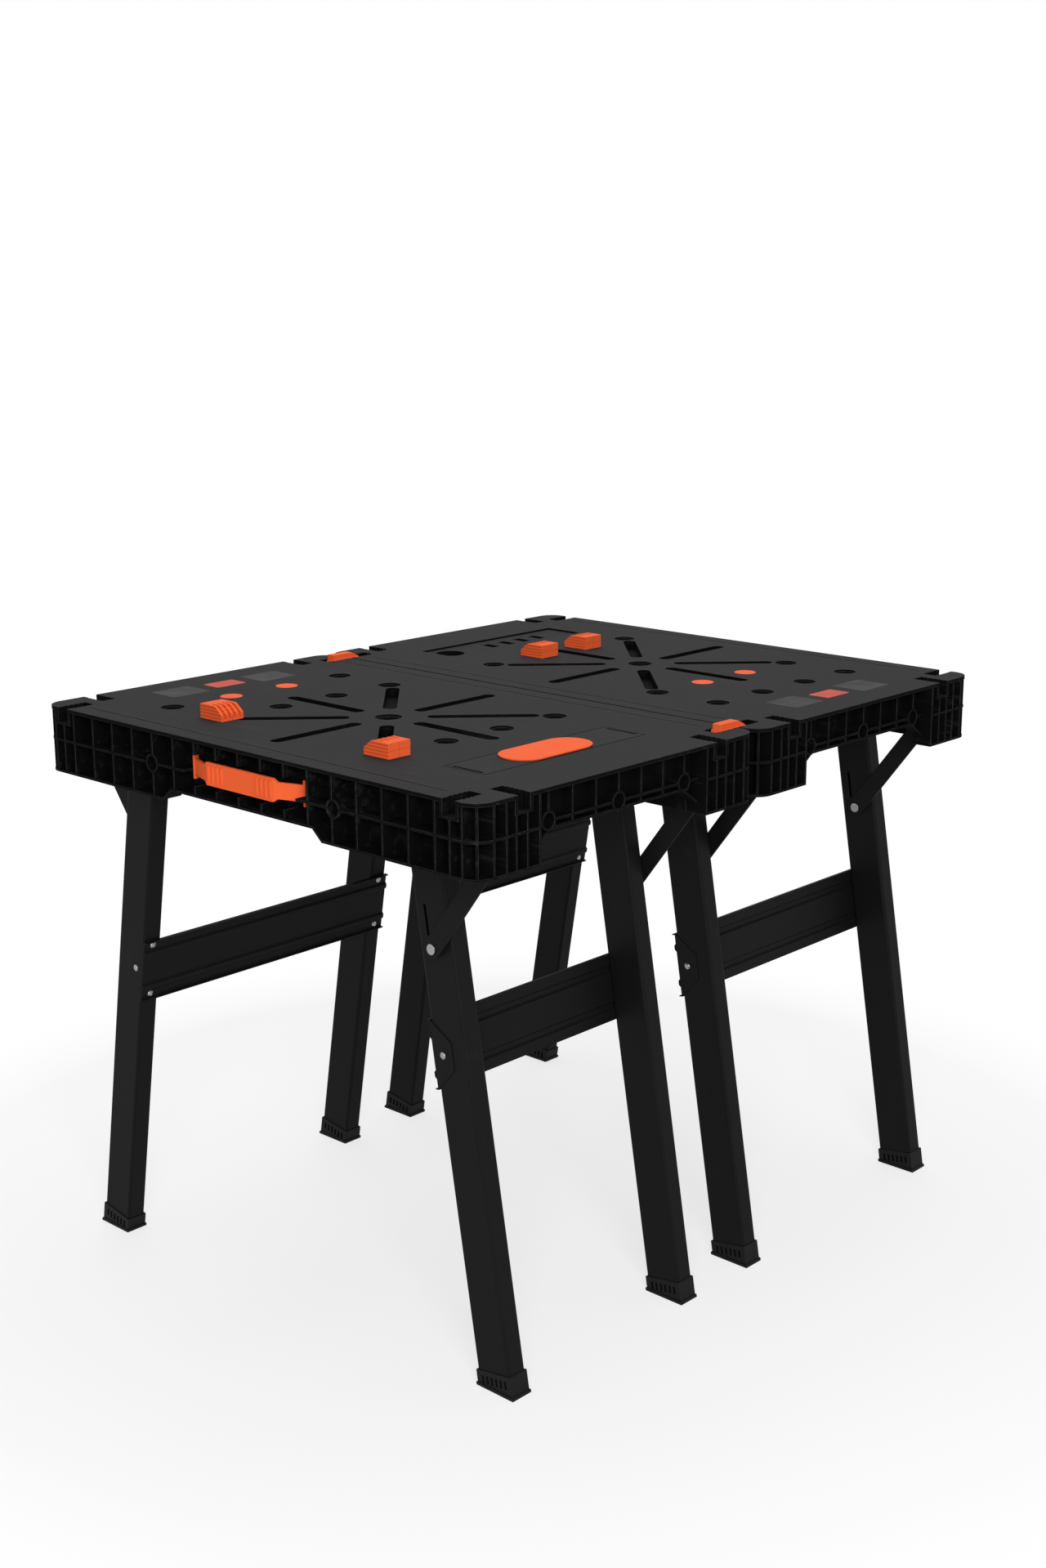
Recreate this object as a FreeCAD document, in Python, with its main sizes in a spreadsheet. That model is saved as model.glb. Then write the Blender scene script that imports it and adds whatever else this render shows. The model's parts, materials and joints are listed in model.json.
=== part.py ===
import FreeCAD, Part
import math
import os
import re

import Sketcher

# A pair of identical folding workbenches, stood long side to long side and linked by two clips.
# Each bench is drawn once in its own frame: origin on the floor under the middle of the top, X along
# the length, Y across, Z up. Its handle is on the -Y side, its wide leg frame at the -X end and its
# narrow leg frame at the +X end. The near bench is shifted to -Y, the far bench is turned half round.

SIZES = {
    # the whole bench
    "bench_length": 860, "bench_width": 532, "bench_height": 800, "seam_gap": 4,
    # moulded top: deck plate and ribbed skirt
    "skirt_depth": 94, "deck_thickness": 5, "corner_radius": 28, "cell_depth_long": 26,
    "cell_depth_short": 29, "wall_thickness": 3.5, "rib_thickness": 3, "flange_thickness": 3,
    "mid_flange_drop": 47, "rib_pitch_long": 45, "rib_count_long": 9, "rib_pitch_short": 43,
    "rib_count_short": 4, "block_rib_start": 216, "block_rib_pitch": 21,
    # corner blocks stand proud of the short sides, whose middle ends higher
    "block_length": 107, "short_recess": 14, "short_raise": 36, "short_step": 14, "short_chamfer": 32,
    "long_raise": 15, "long_raise_half": 160, "long_chamfer": 17,
    # round bosses in the skirt
    "boss_radius": 12.5, "boss_bore": 10, "boss_bore_depth": 12, "boss_drop": 47,
    "long_boss_place": 182, "short_boss_pitch": 129,
    # link slots with toothed sides, open to the side of each corner
    "link_slot_width": 21, "link_slot_length": 46, "link_slot_drop": 21, "link_slot_place": 384,
    "link_short_place": 187, "link_tooth": 2, "link_tooth_pitch": 8, "link_lead": 10, "link_wall": 3,
    # dog holes, centre hole and the star of slots
    "dog_hole_radius": 13, "dog_rim_radius": 16.5, "dog_rim_depth": 2, "dog_boss_radius": 19,
    "dog_boss_depth": 8, "dog_column": 165, "dog_row_near": 52, "dog_row_far": 157, "end_column": 275,
    "centre_hole_radius": 15, "centre_rim_radius": 18.5, "ray_start": 63, "ray_end": 197,
    "ray_half_width": 10, "ruler_groove_place": 28, "ruler_groove_width": 1.6,
    "ruler_groove_depth": 0.8, "ruler_half_length": 355,
    # tray with a cup hole and tool slots, and its lid
    "tray_place": 296, "tray_length": 304, "tray_width": 72, "tray_depth": 3, "tray_pan_depth": 8,
    "tray_pan_margin": 4, "cup_place": 122, "cup_radius": 23, "tool_slot_start": 28,
    "tool_slot_pitch": 37, "tool_slot_count": 4, "tool_slot_length": 28, "tool_slot_width": 16,
    "lid_clearance": 0.4, "lid_grip_edge": 7, "lid_grip_length": 52, "lid_grip_width": 4,
    "lid_grip_depth": 1.6, "inlay_length": 186, "inlay_width": 36, "inlay_thickness": 1.2,
    # carrying handle and its recess in the long side
    "handle_recess_half": 113, "handle_recess_drop": 22, "handle_recess_height": 42,
    "handle_clearance": 0.5, "handle_inset": 1, "handle_thickness": 4, "handle_bow": 16, "handle_shoulder": 6,
    "handle_neck_height": 22, "handle_grip_half": 67, "handle_grip_height": 31, "handle_end_width": 3,
    "handle_end_height": 34, "handle_end_lip": 2,
    "handle_rib_width": 4, "handle_rib_height": 1.2, "handle_rib_pitch": 9, "handle_rib_count": 4,
    # legs and their sliding pivots
    "leg_splay": 9.5, "leg_depth": 58, "leg_thickness": 29, "leg_wall": 1.5, "leg_corner": 4,
    "leg_head": 18, "wide_inset": 33.5, "narrow_inset": 81.5, "wide_pivot_drop": 58,
    "narrow_pivot_drop": 61, "pivot_inset": 180, "pivot_radius": 5, "running_clearance": 0.05,
    "guide_gap": 1, "guide_thickness": 3.5, "guide_reach": 195, "guide_lift": 2, "pin_end_gap": 0.2,
    "lock_slot_start": 112, "lock_slot_end": 148, "lock_slot_radius": 2.5, "lock_slot_offset": 12,
    # braces, from a pivot near the end of the top to a rivet on the leg
    "brace_inset": 47, "brace_drop": 23, "brace_reach": 165, "brace_width": 26, "brace_thickness": 3,
    "brace_pin_radius": 4, "brace_head_radius": 7, "brace_head_height": 2, "brace_gap": 1,
    "open_clearance": 0.3,
    # crossbars of pressed sheet with end flaps, and their rivets
    "wide_bar_place": 314, "narrow_bar_place": 305, "bar_height": 92, "bar_sheet": 1.5,
    "bar_lip": 6, "bar_bead_rise": 3, "bar_bead_width": 12, "bar_bead_edge": 14, "flap_sheet": 1.3,
    "flap_reach": 32, "flap_chamfer": 28, "rivet_radius": 2.5, "rivet_head_radius": 5,
    "rivet_head_height": 1.6, "rivet_spacing": 77, "rivet_tail": 3, "flap_rivet_offset": 14,
    # feet: sleeves with a base lip and a grille
    "foot_wall": 1.2, "foot_height": 26, "foot_floor": 20.5, "foot_lip": 1.5, "foot_lip_height": 4,
    "foot_plug": 30,
    "fit_clearance": 0.1, "grille_start": -20, "grille_pitch": 8, "grille_count": 6,
    "grille_width": 4, "grille_low": 8.5, "grille_high": 19.5, "grille_depth": 5,
    # bench dogs
    "dog_length": 56, "dog_width": 46, "dog_height": 24, "dog_nose": 10, "dog_slope": 18,
    "dog_peg_length": 14, "dog_clearance": 0.3, "dog_groove": 2, "dog_groove_pitch": 9,
    "dog_groove_count": 4, "dog_side_groove": 1.5,
    # hole caps and link clips
    "cap_thickness": 2, "cap_clearance": 0.2, "clip_clearance": 0.3, "clip_rise": 8, "clip_end_gap": 2,
    "clip_waist": 5, "cut_overrun": 10,
}

DOCUMENT = FreeCAD.newDocument("folding_workbench_pair")
SHEET = DOCUMENT.addObject("Spreadsheet::Sheet", "Sizes")
for row, (alias, value) in enumerate(SIZES.items(), start=1):
    SHEET.set(f"A{row}", alias)
    SHEET.set(f"B{row}", str(value))
    SHEET.setAlias(f"B{row}", alias)
DOCUMENT.recompute()


def formula(text):
    """An expression in plain size names, with each name turned into its cell of the sheet."""
    return re.sub(r"\b[a-z]+(?:_[a-z]+)+\b", lambda found: "Sizes." + found.group(0), text)


def number(text):
    """The present value of an expression in size names."""
    value = SHEET.evalExpression(formula(text))
    return float(getattr(value, "Value", value))


# Places that several pieces share, in size names
HALF_X = "bench_length / 2"
HALF_Y = "bench_width / 2"
DECK_LOW = "(bench_height - deck_thickness)"
SKIRT_LOW = "(bench_height - skirt_depth)"
WALL_X = "(bench_length / 2 - cell_depth_short)"
WALL_Y = "(bench_width / 2 - cell_depth_long)"
BLOCK_Y = "(bench_width / 2 - block_length)"
FRAMES = {
    "wide": {"end": -1, "inset": "wide_inset", "drop": "wide_pivot_drop", "bar": "wide_bar_place"},
    "narrow": {"end": 1, "inset": "narrow_inset", "drop": "narrow_pivot_drop", "bar": "narrow_bar_place"},
}
for frame in FRAMES.values():
    frame["pivot_z"] = f"(bench_height - {frame['drop']})"
    frame["outer_face"] = f"(bench_width / 2 - {frame['inset']})"
    frame["inner_face"] = f"(bench_width / 2 - {frame['inset']} - leg_thickness)"
    frame["leg_y"] = f"(bench_width / 2 - {frame['inset']} - leg_thickness / 2)"
    frame["floor_run"] = f"({frame['pivot_z']} / cos(leg_splay))"

# The brace joins the leg brace_reach below the leg's pivot and swings about its own pivot near the end
BRACE_RUN = "(pivot_inset - brace_reach * sin(leg_splay) - brace_inset)"
BRACE_FALL = "(brace_reach * cos(leg_splay) - brace_drop)"
BRACE_LENGTH = f"hypot({BRACE_RUN}; {BRACE_FALL})"
BRACE_ANGLE = f"atan2({BRACE_FALL}; {BRACE_RUN})"
# Folded flat, the leg's pivot has slid out to this distance from the end
FOLDED_INSET = f"(brace_inset + sqrt({BRACE_LENGTH}^2 - brace_drop^2) - brace_reach)"
# Plane of each frame's braces: the wide frame's inside its inner guide wall, the narrow frame's outside
FRAMES["wide"]["brace_y"] = (f"({FRAMES['wide']['inner_face']} - guide_gap - guide_thickness"
                             " - brace_gap - brace_thickness / 2)")
FRAMES["narrow"]["brace_y"] = (f"({FRAMES['narrow']['outer_face']} + guide_gap + guide_thickness"
                               " + brace_gap + brace_thickness / 2)")


class Sketch:
    """A sketch of a body on one of its origin planes, drawn in expressions of size names."""

    def __init__(self, body, role, offset="0"):
        self.item = body.newObject("Sketcher::SketchObject", body.Label + "_sketch")
        plane = next(part for part in body.Origin.OriginFeatures if part.Role == role)
        self.item.AttachmentSupport = [(plane, "")]
        self.item.MapMode = "FlatFace"
        self.item.setExpression(".AttachmentOffset.Base.z", formula(offset))

    def bind(self, kind, *where, size):
        index = self.item.addConstraint(Sketcher.Constraint(kind, *where, number(size)))
        self.item.setExpression(f"Constraints[{index}]", formula(size))

    def fix(self, element, end, x, y):
        """Hold a point at x, y from the sketch's origin."""
        for kind, axis, size in (("DistanceX", -2, x), ("DistanceY", -1, y)):
            if size == "0":
                self.item.addConstraint(Sketcher.Constraint("PointOnObject", element, end, axis))
            else:
                self.bind(kind, -1, 1, element, end, size=size)

    def outline(self, points, arcs=None):
        """A closed outline; arcs maps the start point of a round stretch to its radius, turning left."""
        arcs = arcs or {}
        places = [FreeCAD.Vector(number(x), number(y), 0) for x, y in points]
        first = self.item.GeometryCount
        count = len(points)
        for index, start in enumerate(places):
            end = places[(index + 1) % count]
            if index in arcs:
                radius = number(arcs[index])
                chord = end - start
                lift = math.sqrt(max(radius ** 2 - (chord.Length / 2) ** 2, 0.0))
                left = FreeCAD.Vector(-chord.y, chord.x, 0).normalize()
                centre = (start + end) * 0.5 + left * lift
                turn = [math.atan2((p - centre).y, (p - centre).x) for p in (start, end)]
                circle = Part.Circle(centre, FreeCAD.Vector(0, 0, 1), radius)
                self.item.addGeometry(Part.ArcOfCircle(circle, turn[0], turn[1]))
                self.bind("Radius", first + index, size=arcs[index])
            else:
                self.item.addGeometry(Part.LineSegment(start, end))
        for index, (x, y) in enumerate(points):
            after = first + (index + 1) % count
            self.item.addConstraint(Sketcher.Constraint("Coincident", first + index, 2, after, 1))
            self.fix(first + index, 1, x, y)
        return self

    def rectangle(self, x_low, x_high, y_low, y_high):
        return self.outline([(x_low, y_low), (x_high, y_low), (x_high, y_high), (x_low, y_high)])

    def rounded(self, half_x, half_y, radius):
        """A rectangle about the origin with round corners."""
        near_x, near_y = f"({half_x} - {radius})", f"({half_y} - {radius})"
        points = [(f"-{near_x}", f"-({half_y})"), (near_x, f"-({half_y})"), (half_x, f"-{near_y}"),
                  (half_x, near_y), (near_x, half_y), (f"-{near_x}", half_y), (f"-({half_x})", near_y),
                  (f"-({half_x})", f"-{near_y}")]
        return self.outline(points, {1: radius, 3: radius, 5: radius, 7: radius})

    def circle(self, x, y, radius):
        element = self.item.addGeometry(
            Part.Circle(FreeCAD.Vector(number(x), number(y), 0), FreeCAD.Vector(0, 0, 1), number(radius)))
        self.fix(element, 3, x, y)
        self.bind("Radius", element, size=radius)
        return self

    def stadium(self, low, high, across, radius, upright=False):
        """A straight slot with round ends along x, or along y if upright, by the centres of its ends."""
        centres = [(across, end) if upright else (end, across) for end in (low, high)]
        turn = 0 if upright else -math.pi / 2
        axis = FreeCAD.Vector(0, 0, 1)
        size = number(radius)
        middles = [FreeCAD.Vector(number(x), number(y), 0) for x, y in centres]
        side = FreeCAD.Vector(math.cos(turn), math.sin(turn), 0) * size
        first = self.item.GeometryCount
        self.item.addGeometry(Part.LineSegment(middles[0] + side, middles[1] + side))
        half_turn = turn + math.pi
        full_turn = turn + 2 * math.pi
        self.item.addGeometry(Part.ArcOfCircle(Part.Circle(middles[1], axis, size), turn, half_turn))
        self.item.addGeometry(Part.LineSegment(middles[1] - side, middles[0] - side))
        self.item.addGeometry(Part.ArcOfCircle(Part.Circle(middles[0], axis, size), half_turn, full_turn))
        for step in range(4):
            after = first + (step + 1) % 4
            self.item.addConstraint(Sketcher.Constraint("Tangent", first + step, 2, after, 1))
        self.fix(first + 1, 3, *centres[1])
        self.fix(first + 3, 3, *centres[0])
        self.bind("Radius", first + 1, size=radius)
        return self


class Piece:
    """A body made of sketched features, in the bench's frame unless it is placed."""

    def __init__(self, label):
        self.body = DOCUMENT.addObject("PartDesign::Body", label)
        self.body.Label = label

    def sketch(self, role, offset="0"):
        return Sketch(self.body, role, offset)

    def extrude(self, kind, sketch, length, reverse=False, both=False):
        feature = self.body.newObject("PartDesign::" + kind, self.body.Label + "_" + kind)
        feature.Profile = sketch.item
        feature.setExpression("Length", formula(length))
        feature.Reversed = reverse
        feature.SideType = "Symmetric" if both else "One side"
        feature.Refine = False
        sketch.item.Visibility = False
        DOCUMENT.recompute()
        return feature

    def pad(self, sketch, length, reverse=False, both=False):
        return self.extrude("Pad", sketch, length, reverse, both)

    def pocket(self, sketch, length, reverse=False, both=False):
        """Cut a pocket, and stop if it took nothing away."""
        before = self.body.Shape.Volume
        feature = self.extrude("Pocket", sketch, length, reverse, both)
        if not self.body.Shape.Volume < before:
            raise RuntimeError(f"{feature.Label} cuts nothing")
        return feature

    def plane(self, role):
        return next(part for part in self.body.Origin.OriginFeatures if part.Role == role)

    def row(self, feature, role, count, pitch):
        """Repeat a feature along an axis of the body."""
        pattern = self.body.newObject("PartDesign::LinearPattern", self.body.Label + "_row")
        pattern.Originals = [feature]
        pattern.Refine = False
        pattern.Direction = (self.plane(role), [""])
        pattern.Mode = "Spacing"
        pattern.setExpression("Offset", formula(pitch))
        pattern.setExpression("Occurrences", formula(count))
        self.body.Tip = pattern
        DOCUMENT.recompute()
        return pattern

    def turn(self, feature, count):
        """Repeat a feature round the body's upright axis."""
        pattern = self.body.newObject("PartDesign::PolarPattern", self.body.Label + "_turn")
        pattern.Originals = [feature]
        pattern.Refine = False
        pattern.Axis = (self.plane("Z_Axis"), [""])
        pattern.Angle = 360
        pattern.Occurrences = count
        self.body.Tip = pattern
        DOCUMENT.recompute()
        return pattern

    def mirror(self, feature, role):
        """Repeat a feature on the other side of an origin plane."""
        mirrored = self.body.newObject("PartDesign::Mirrored", self.body.Label + "_mirror")
        mirrored.Originals = [feature]
        mirrored.MirrorPlane = (self.plane(role), [""])
        self.body.Tip = mirrored
        DOCUMENT.recompute()
        return mirrored

    def mirror_all(self, role):
        """Mirror the whole body so far about an origin plane and join both halves."""
        mirrored = self.body.newObject("PartDesign::Mirrored", self.body.Label + "_half")
        mirrored.TransformMode = "Whole shape"
        mirrored.Refine = False
        mirrored.MirrorPlane = (self.plane(role), [""])
        self.body.Tip = mirrored
        DOCUMENT.recompute()
        return mirrored

    def place(self, x, y, z, turn="0"):
        """Put the body at x, y, z, turned about the bench's Y axis."""
        return place(self.body, x, y, z, turn)


def place(item, x, y, z, turn="0"):
    """Put an object at x, y, z, turned about the bench's Y axis, all in size names."""
    item.Placement = FreeCAD.Placement(FreeCAD.Vector(), FreeCAD.Rotation(FreeCAD.Vector(0, 1, 0), 1))
    for axis, size in zip("xyz", (x, y, z)):
        item.setExpression(f"Placement.Base.{axis}", formula(size))
    item.setExpression("Placement.Rotation.Angle", formula(turn))
    return item


def cylinder(label, x, y_low, y_high, z, radius):
    """A cylinder along the bench's Y axis."""
    item = DOCUMENT.addObject("Part::Cylinder", label)
    item.setExpression("Radius", formula(radius))
    item.setExpression("Height", formula(f"({y_high}) - ({y_low})"))
    item.Placement = FreeCAD.Placement(FreeCAD.Vector(), FreeCAD.Rotation(FreeCAD.Vector(1, 0, 0), -90))
    for axis, size in zip("xyz", (x, y_low, z)):
        item.setExpression(f"Placement.Base.{axis}", formula(size))
    return item


def joined(label, items):
    """One solid from several that meet."""
    union = DOCUMENT.addObject("Part::MultiFuse", label)
    union.Shapes = items
    return union


def group(label, items):
    """Separate solids of one kind under one name."""
    compound = DOCUMENT.addObject("Part::Compound", label)
    compound.Label = label
    compound.Links = items
    return compound


def link_slot_outline(sketch, along, place_across, edge):
    """A link slot with toothed sides, open at edge; along is the sketch axis that it runs along."""
    half = "(link_slot_width / 2)"
    depth = f"({edge} - link_slot_length)"
    teeth = 4
    side = [(f"({edge} + cut_overrun)", half)]
    for tooth in range(teeth):
        start = f"({edge} - link_lead - {tooth} * link_tooth_pitch)"
        side.append((start, half))
        side.append((f"({start} - link_tooth_pitch / 2)", f"({half} + link_tooth)"))
    side.append((f"({edge} - link_lead - {teeth} * link_tooth_pitch)", half))
    side.append((depth, half))
    left = [(run, f"({place_across} - {across})") for run, across in side]
    right = [(run, f"({place_across} + {across})") for run, across in reversed(side)]
    chain = left + right
    points = chain if along == "x" else [(across, run) for run, across in chain]
    return sketch.outline(points)


QUARTER = [(HALF_X, "0"), (HALF_X, f"{HALF_Y} - corner_radius"), (f"{HALF_X} - corner_radius", HALF_Y),
           ("0", HALF_Y)]
QUARTER_ARC = {1: "corner_radius"}


def cut_link_slots(piece):
    """The two toothed link slots of a quarter of the top."""
    slot = piece.sketch("XY_Plane", "bench_height")
    piece.pocket(link_slot_outline(slot, "y", "link_slot_place", HALF_Y), "link_slot_drop")
    slot = piece.sketch("XY_Plane", "bench_height")
    piece.pocket(link_slot_outline(slot, "x", "link_short_place", HALF_X), "link_slot_drop")


def make_deck():
    """The deck plate with its tubes, holes, star, tray and sunk lines."""
    deck = Piece("deck")
    plate = deck.sketch("XY_Plane", DECK_LOW).outline(QUARTER + [("0", "0")], QUARTER_ARC)
    deck.pad(plate, "deck_thickness")
    cut_link_slots(deck)
    deck.mirror_all("XZ_Plane")
    deck.mirror_all("YZ_Plane")
    signs = (1, -1)
    rows = ("dog_row_near", "dog_row_far")
    holes = [(f"{end} * dog_column", f"{side} * {row}") for end in signs for side in signs for row in rows]
    holes += [("-end_column", f"{side} * {row}") for side in signs for row in rows]
    # dog holes with a sunk rim over a short tube
    tube_low = f"{DECK_LOW} - dog_boss_depth"
    steps = (("dog_boss_radius", deck.pad, tube_low, "dog_boss_depth"),
             ("dog_rim_radius", deck.pocket, "bench_height", "dog_rim_depth"),
             ("dog_hole_radius", deck.pocket, "bench_height", "deck_thickness + 2 * dog_boss_depth"))
    for radius, make, level, depth in steps:
        discs = deck.sketch("XY_Plane", level)
        for x, y in holes:
            discs.circle(x, y, radius)
        make(discs, depth)
    # centre hole and the star of eight slots
    through = "2 * deck_thickness"
    for radius, depth in (("centre_rim_radius", "dog_rim_depth"), ("centre_hole_radius", through)):
        deck.pocket(deck.sketch("XY_Plane", "bench_height").circle("0", "0", radius), depth)
    slot = deck.sketch("XY_Plane", "bench_height").stadium("ray_start", "ray_end", "0", "ray_half_width")
    deck.turn(deck.pocket(slot, through), 8)
    # sunk line beside each long edge
    lines = deck.sketch("XY_Plane", "bench_height")
    for side in signs:
        middle = f"{side} * ({HALF_Y} - ruler_groove_place)"
        lines.rectangle("-ruler_half_length", "ruler_half_length",
                        f"{middle} - ruler_groove_width / 2", f"{middle} + ruler_groove_width / 2")
    deck.pocket(lines, "ruler_groove_depth")
    make_tray(deck)
    return deck.body


def make_skirt():
    """The ribbed skirt: a quarter of walls, flanges and ribs, mirrored twice, then its one-sided cuts."""
    skirt = Piece("skirt")
    ring = QUARTER + [("0", WALL_Y), (WALL_X, WALL_Y), (WALL_X, "0")]
    inner_x, inner_y = f"({WALL_X} - wall_thickness)", f"({WALL_Y} - wall_thickness)"
    rib_low, rib_high = "-rib_thickness / 2", "rib_thickness / 2"
    height = "skirt_depth - deck_thickness"
    # inner wall and the two flanges
    wall = [(WALL_X, "0"), (WALL_X, WALL_Y), ("0", WALL_Y),
            ("0", inner_y), (inner_x, inner_y), (inner_x, "0")]
    skirt.pad(skirt.sketch("XY_Plane", SKIRT_LOW).outline(wall), height)
    for low in (SKIRT_LOW, "bench_height - mid_flange_drop - flange_thickness / 2"):
        skirt.pad(skirt.sketch("XY_Plane", low).outline(ring, QUARTER_ARC), "flange_thickness")
    # upright ribs between the flanges
    rib = skirt.pad(skirt.sketch("XY_Plane", SKIRT_LOW).rectangle(rib_low, rib_high, WALL_Y, HALF_Y), height)
    skirt.row(rib, "X_Axis", "rib_count_long", "rib_pitch_long")
    rib = skirt.pad(skirt.sketch("XY_Plane", SKIRT_LOW).rectangle(WALL_X, HALF_X, rib_low, rib_high), height)
    skirt.row(rib, "Y_Axis", "rib_count_short", "rib_pitch_short")
    strips = skirt.sketch("XY_Plane", SKIRT_LOW)
    for middle in (BLOCK_Y, "block_rib_start", "block_rib_start + block_rib_pitch"):
        strips.rectangle(WALL_X, HALF_X, f"{middle} - rib_thickness / 2", f"{middle} + rib_thickness / 2")
    skirt.pad(strips, height)
    slant = "rib_thickness / 2 * sqrt(0.5)"
    reach = "(corner_radius - rib_thickness / 8) * sqrt(0.5) - corner_radius"
    corner_rib = [(f"{WALL_X} - wall_thickness / 2 + {slant}", f"{WALL_Y} - wall_thickness / 2 - {slant}"),
                  (f"{HALF_X} + {reach} + {slant}", f"{HALF_Y} + {reach} - {slant}"),
                  (f"{HALF_X} + {reach} - {slant}", f"{HALF_Y} + {reach} + {slant}"),
                  (f"{WALL_X} - wall_thickness / 2 - {slant}", f"{WALL_Y} - wall_thickness / 2 + {slant}")]
    skirt.pad(skirt.sketch("XY_Plane", SKIRT_LOW).outline(corner_rib), height)
    raise_sides(skirt)
    # round bosses in the cells of both sides
    boss_z = "bench_height - boss_drop"
    short_bosses = [("0", boss_z), ("short_boss_pitch", boss_z)]
    faces = [("XZ_Plane", f"-({HALF_Y})", [("long_boss_place", boss_z)], "cell_depth_long", False),
             ("YZ_Plane", f"{HALF_X} - short_recess", short_bosses, "cell_depth_short - short_recess", True)]
    for role, offset, places, depth, inward in faces:
        steps = (("boss_radius", skirt.pad, depth), ("boss_bore", skirt.pocket, "boss_bore_depth"))
        for radius, make, length in steps:
            discs = skirt.sketch(role, offset)
            for x, z in places:
                discs.circle(x, z, radius)
            make(discs, length, reverse=inward if make == skirt.pad else not inward)
    # blocks that hold the link slots
    link_low = "bench_height - link_slot_drop - link_wall"
    block_half = "(link_slot_width / 2 + link_tooth + link_wall)"
    depth = "link_slot_length + link_wall"
    blocks = skirt.sketch("XY_Plane", link_low)
    blocks.rectangle(f"link_slot_place - {block_half}", f"link_slot_place + {block_half}",
                     f"{HALF_Y} - ({depth})", HALF_Y)
    blocks.rectangle(f"{HALF_X} - ({depth})", HALF_X,
                     f"link_short_place - {block_half}", f"link_short_place + {block_half}")
    skirt.pad(blocks, "link_slot_drop + link_wall - deck_thickness")
    cut_link_slots(skirt)
    skirt.mirror_all("XZ_Plane")
    skirt.mirror_all("YZ_Plane")
    # recess for the handle in one long side
    recess_high = "bench_height - handle_recess_drop"
    skirt.pocket(skirt.sketch("XZ_Plane", HALF_Y).rectangle(
        "-handle_recess_half", "handle_recess_half", f"{recess_high} - handle_recess_height", recess_high),
        "cell_depth_long")
    # slots for the wide legs' pivots in the long inner walls
    slots = guide_slot(skirt.sketch("XZ_Plane"), FRAMES["wide"])
    skirt.pocket(slots, f"2 * ({WALL_Y} + pin_end_gap)", both=True)
    return skirt.body


def raise_sides(skirt):
    """The middle of each side ends higher than the corner blocks, and the short side lies further in."""
    raised = f"({SKIRT_LOW} + long_raise)"
    skirt.pocket(skirt.sketch("XZ_Plane").outline(
        [("-rib_thickness", f"{SKIRT_LOW} - cut_overrun"), ("long_raise_half", f"{SKIRT_LOW} - cut_overrun"),
         ("long_raise_half", SKIRT_LOW), ("long_raise_half - long_chamfer", raised),
         ("-rib_thickness", raised)]), "2 * bench_width", both=True)
    skirt.pad(skirt.sketch("XZ_Plane", f"-{HALF_Y}").outline(
        [("0", raised), ("long_raise_half - long_chamfer", raised), ("long_raise_half", SKIRT_LOW),
         ("long_raise_half", f"{SKIRT_LOW} + flange_thickness"),
         ("long_raise_half - long_chamfer", f"{raised} + flange_thickness"),
         ("0", f"{raised} + flange_thickness")]), "cell_depth_long + wall_thickness")
    block_face = f"({BLOCK_Y} - rib_thickness / 2)"
    lifted, stepped = f"({SKIRT_LOW} + short_raise)", f"({SKIRT_LOW} + short_step)"
    chamfer_end = f"({block_face} - short_chamfer)"
    skirt.pocket(skirt.sketch("YZ_Plane").outline(
        [("-rib_thickness", f"{SKIRT_LOW} - cut_overrun"), (block_face, f"{SKIRT_LOW} - cut_overrun"),
         (block_face, stepped), (chamfer_end, lifted), ("-rib_thickness", lifted)]),
        "2 * bench_length", both=True)
    skirt.pocket(skirt.sketch("XY_Plane").rectangle(
        f"{HALF_X} - short_recess", f"{HALF_X} + cut_overrun", "-rib_thickness", block_face),
        "2 * bench_height", both=True)
    skirt.pad(skirt.sketch("YZ_Plane", f"{HALF_X} - short_recess").outline(
        [("0", lifted), (chamfer_end, lifted), (block_face, stepped),
         (block_face, f"{stepped} + flange_thickness"), (chamfer_end, f"{lifted} + flange_thickness"),
         ("0", f"{lifted} + flange_thickness")]),
        "cell_depth_short - short_recess + wall_thickness", reverse=True)


def make_tray(deck):
    """A sunk tray across the narrow end, with a cup hole and a row of tool slots."""
    half_x, half_y = "tray_width / 2", "tray_length / 2"
    deck.pad(deck.sketch("XY_Plane", f"{DECK_LOW} - tray_pan_depth").rectangle(
        f"tray_place - {half_x} - tray_pan_margin", f"tray_place + {half_x} + tray_pan_margin",
        f"-{half_y} - tray_pan_margin", f"{half_y} + tray_pan_margin"), "tray_pan_depth")
    deck.pocket(deck.sketch("XY_Plane", "bench_height").rectangle(
        f"tray_place - {half_x}", f"tray_place + {half_x}", f"-{half_y}", half_y), "tray_depth")
    through = "deck_thickness + 2 * tray_pan_depth"
    cup_hole = deck.sketch("XY_Plane", "bench_height").circle("tray_place", "cup_place", "cup_radius")
    deck.pocket(cup_hole, through)
    slot = deck.pocket(deck.sketch("XY_Plane", "bench_height").rectangle(
        "tray_place - tool_slot_length / 2", "tray_place + tool_slot_length / 2",
        "tool_slot_start - 3 * tool_slot_pitch - tool_slot_width / 2",
        "tool_slot_start - 3 * tool_slot_pitch + tool_slot_width / 2"), through)
    deck.row(slot, "Y_Axis", "tool_slot_count", "tool_slot_pitch")


def guide_slot(sketch, frame):
    """The path of a frame's leg pivot, deployed to folded, as a slot in an upright plane."""
    end = frame["end"]
    ends = sorted((f"{end} * ({HALF_X} - pivot_inset)", f"{end} * ({HALF_X} - {FOLDED_INSET})"), key=number)
    return sketch.stadium(ends[0], ends[1], frame["pivot_z"], "pivot_radius + running_clearance")


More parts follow.
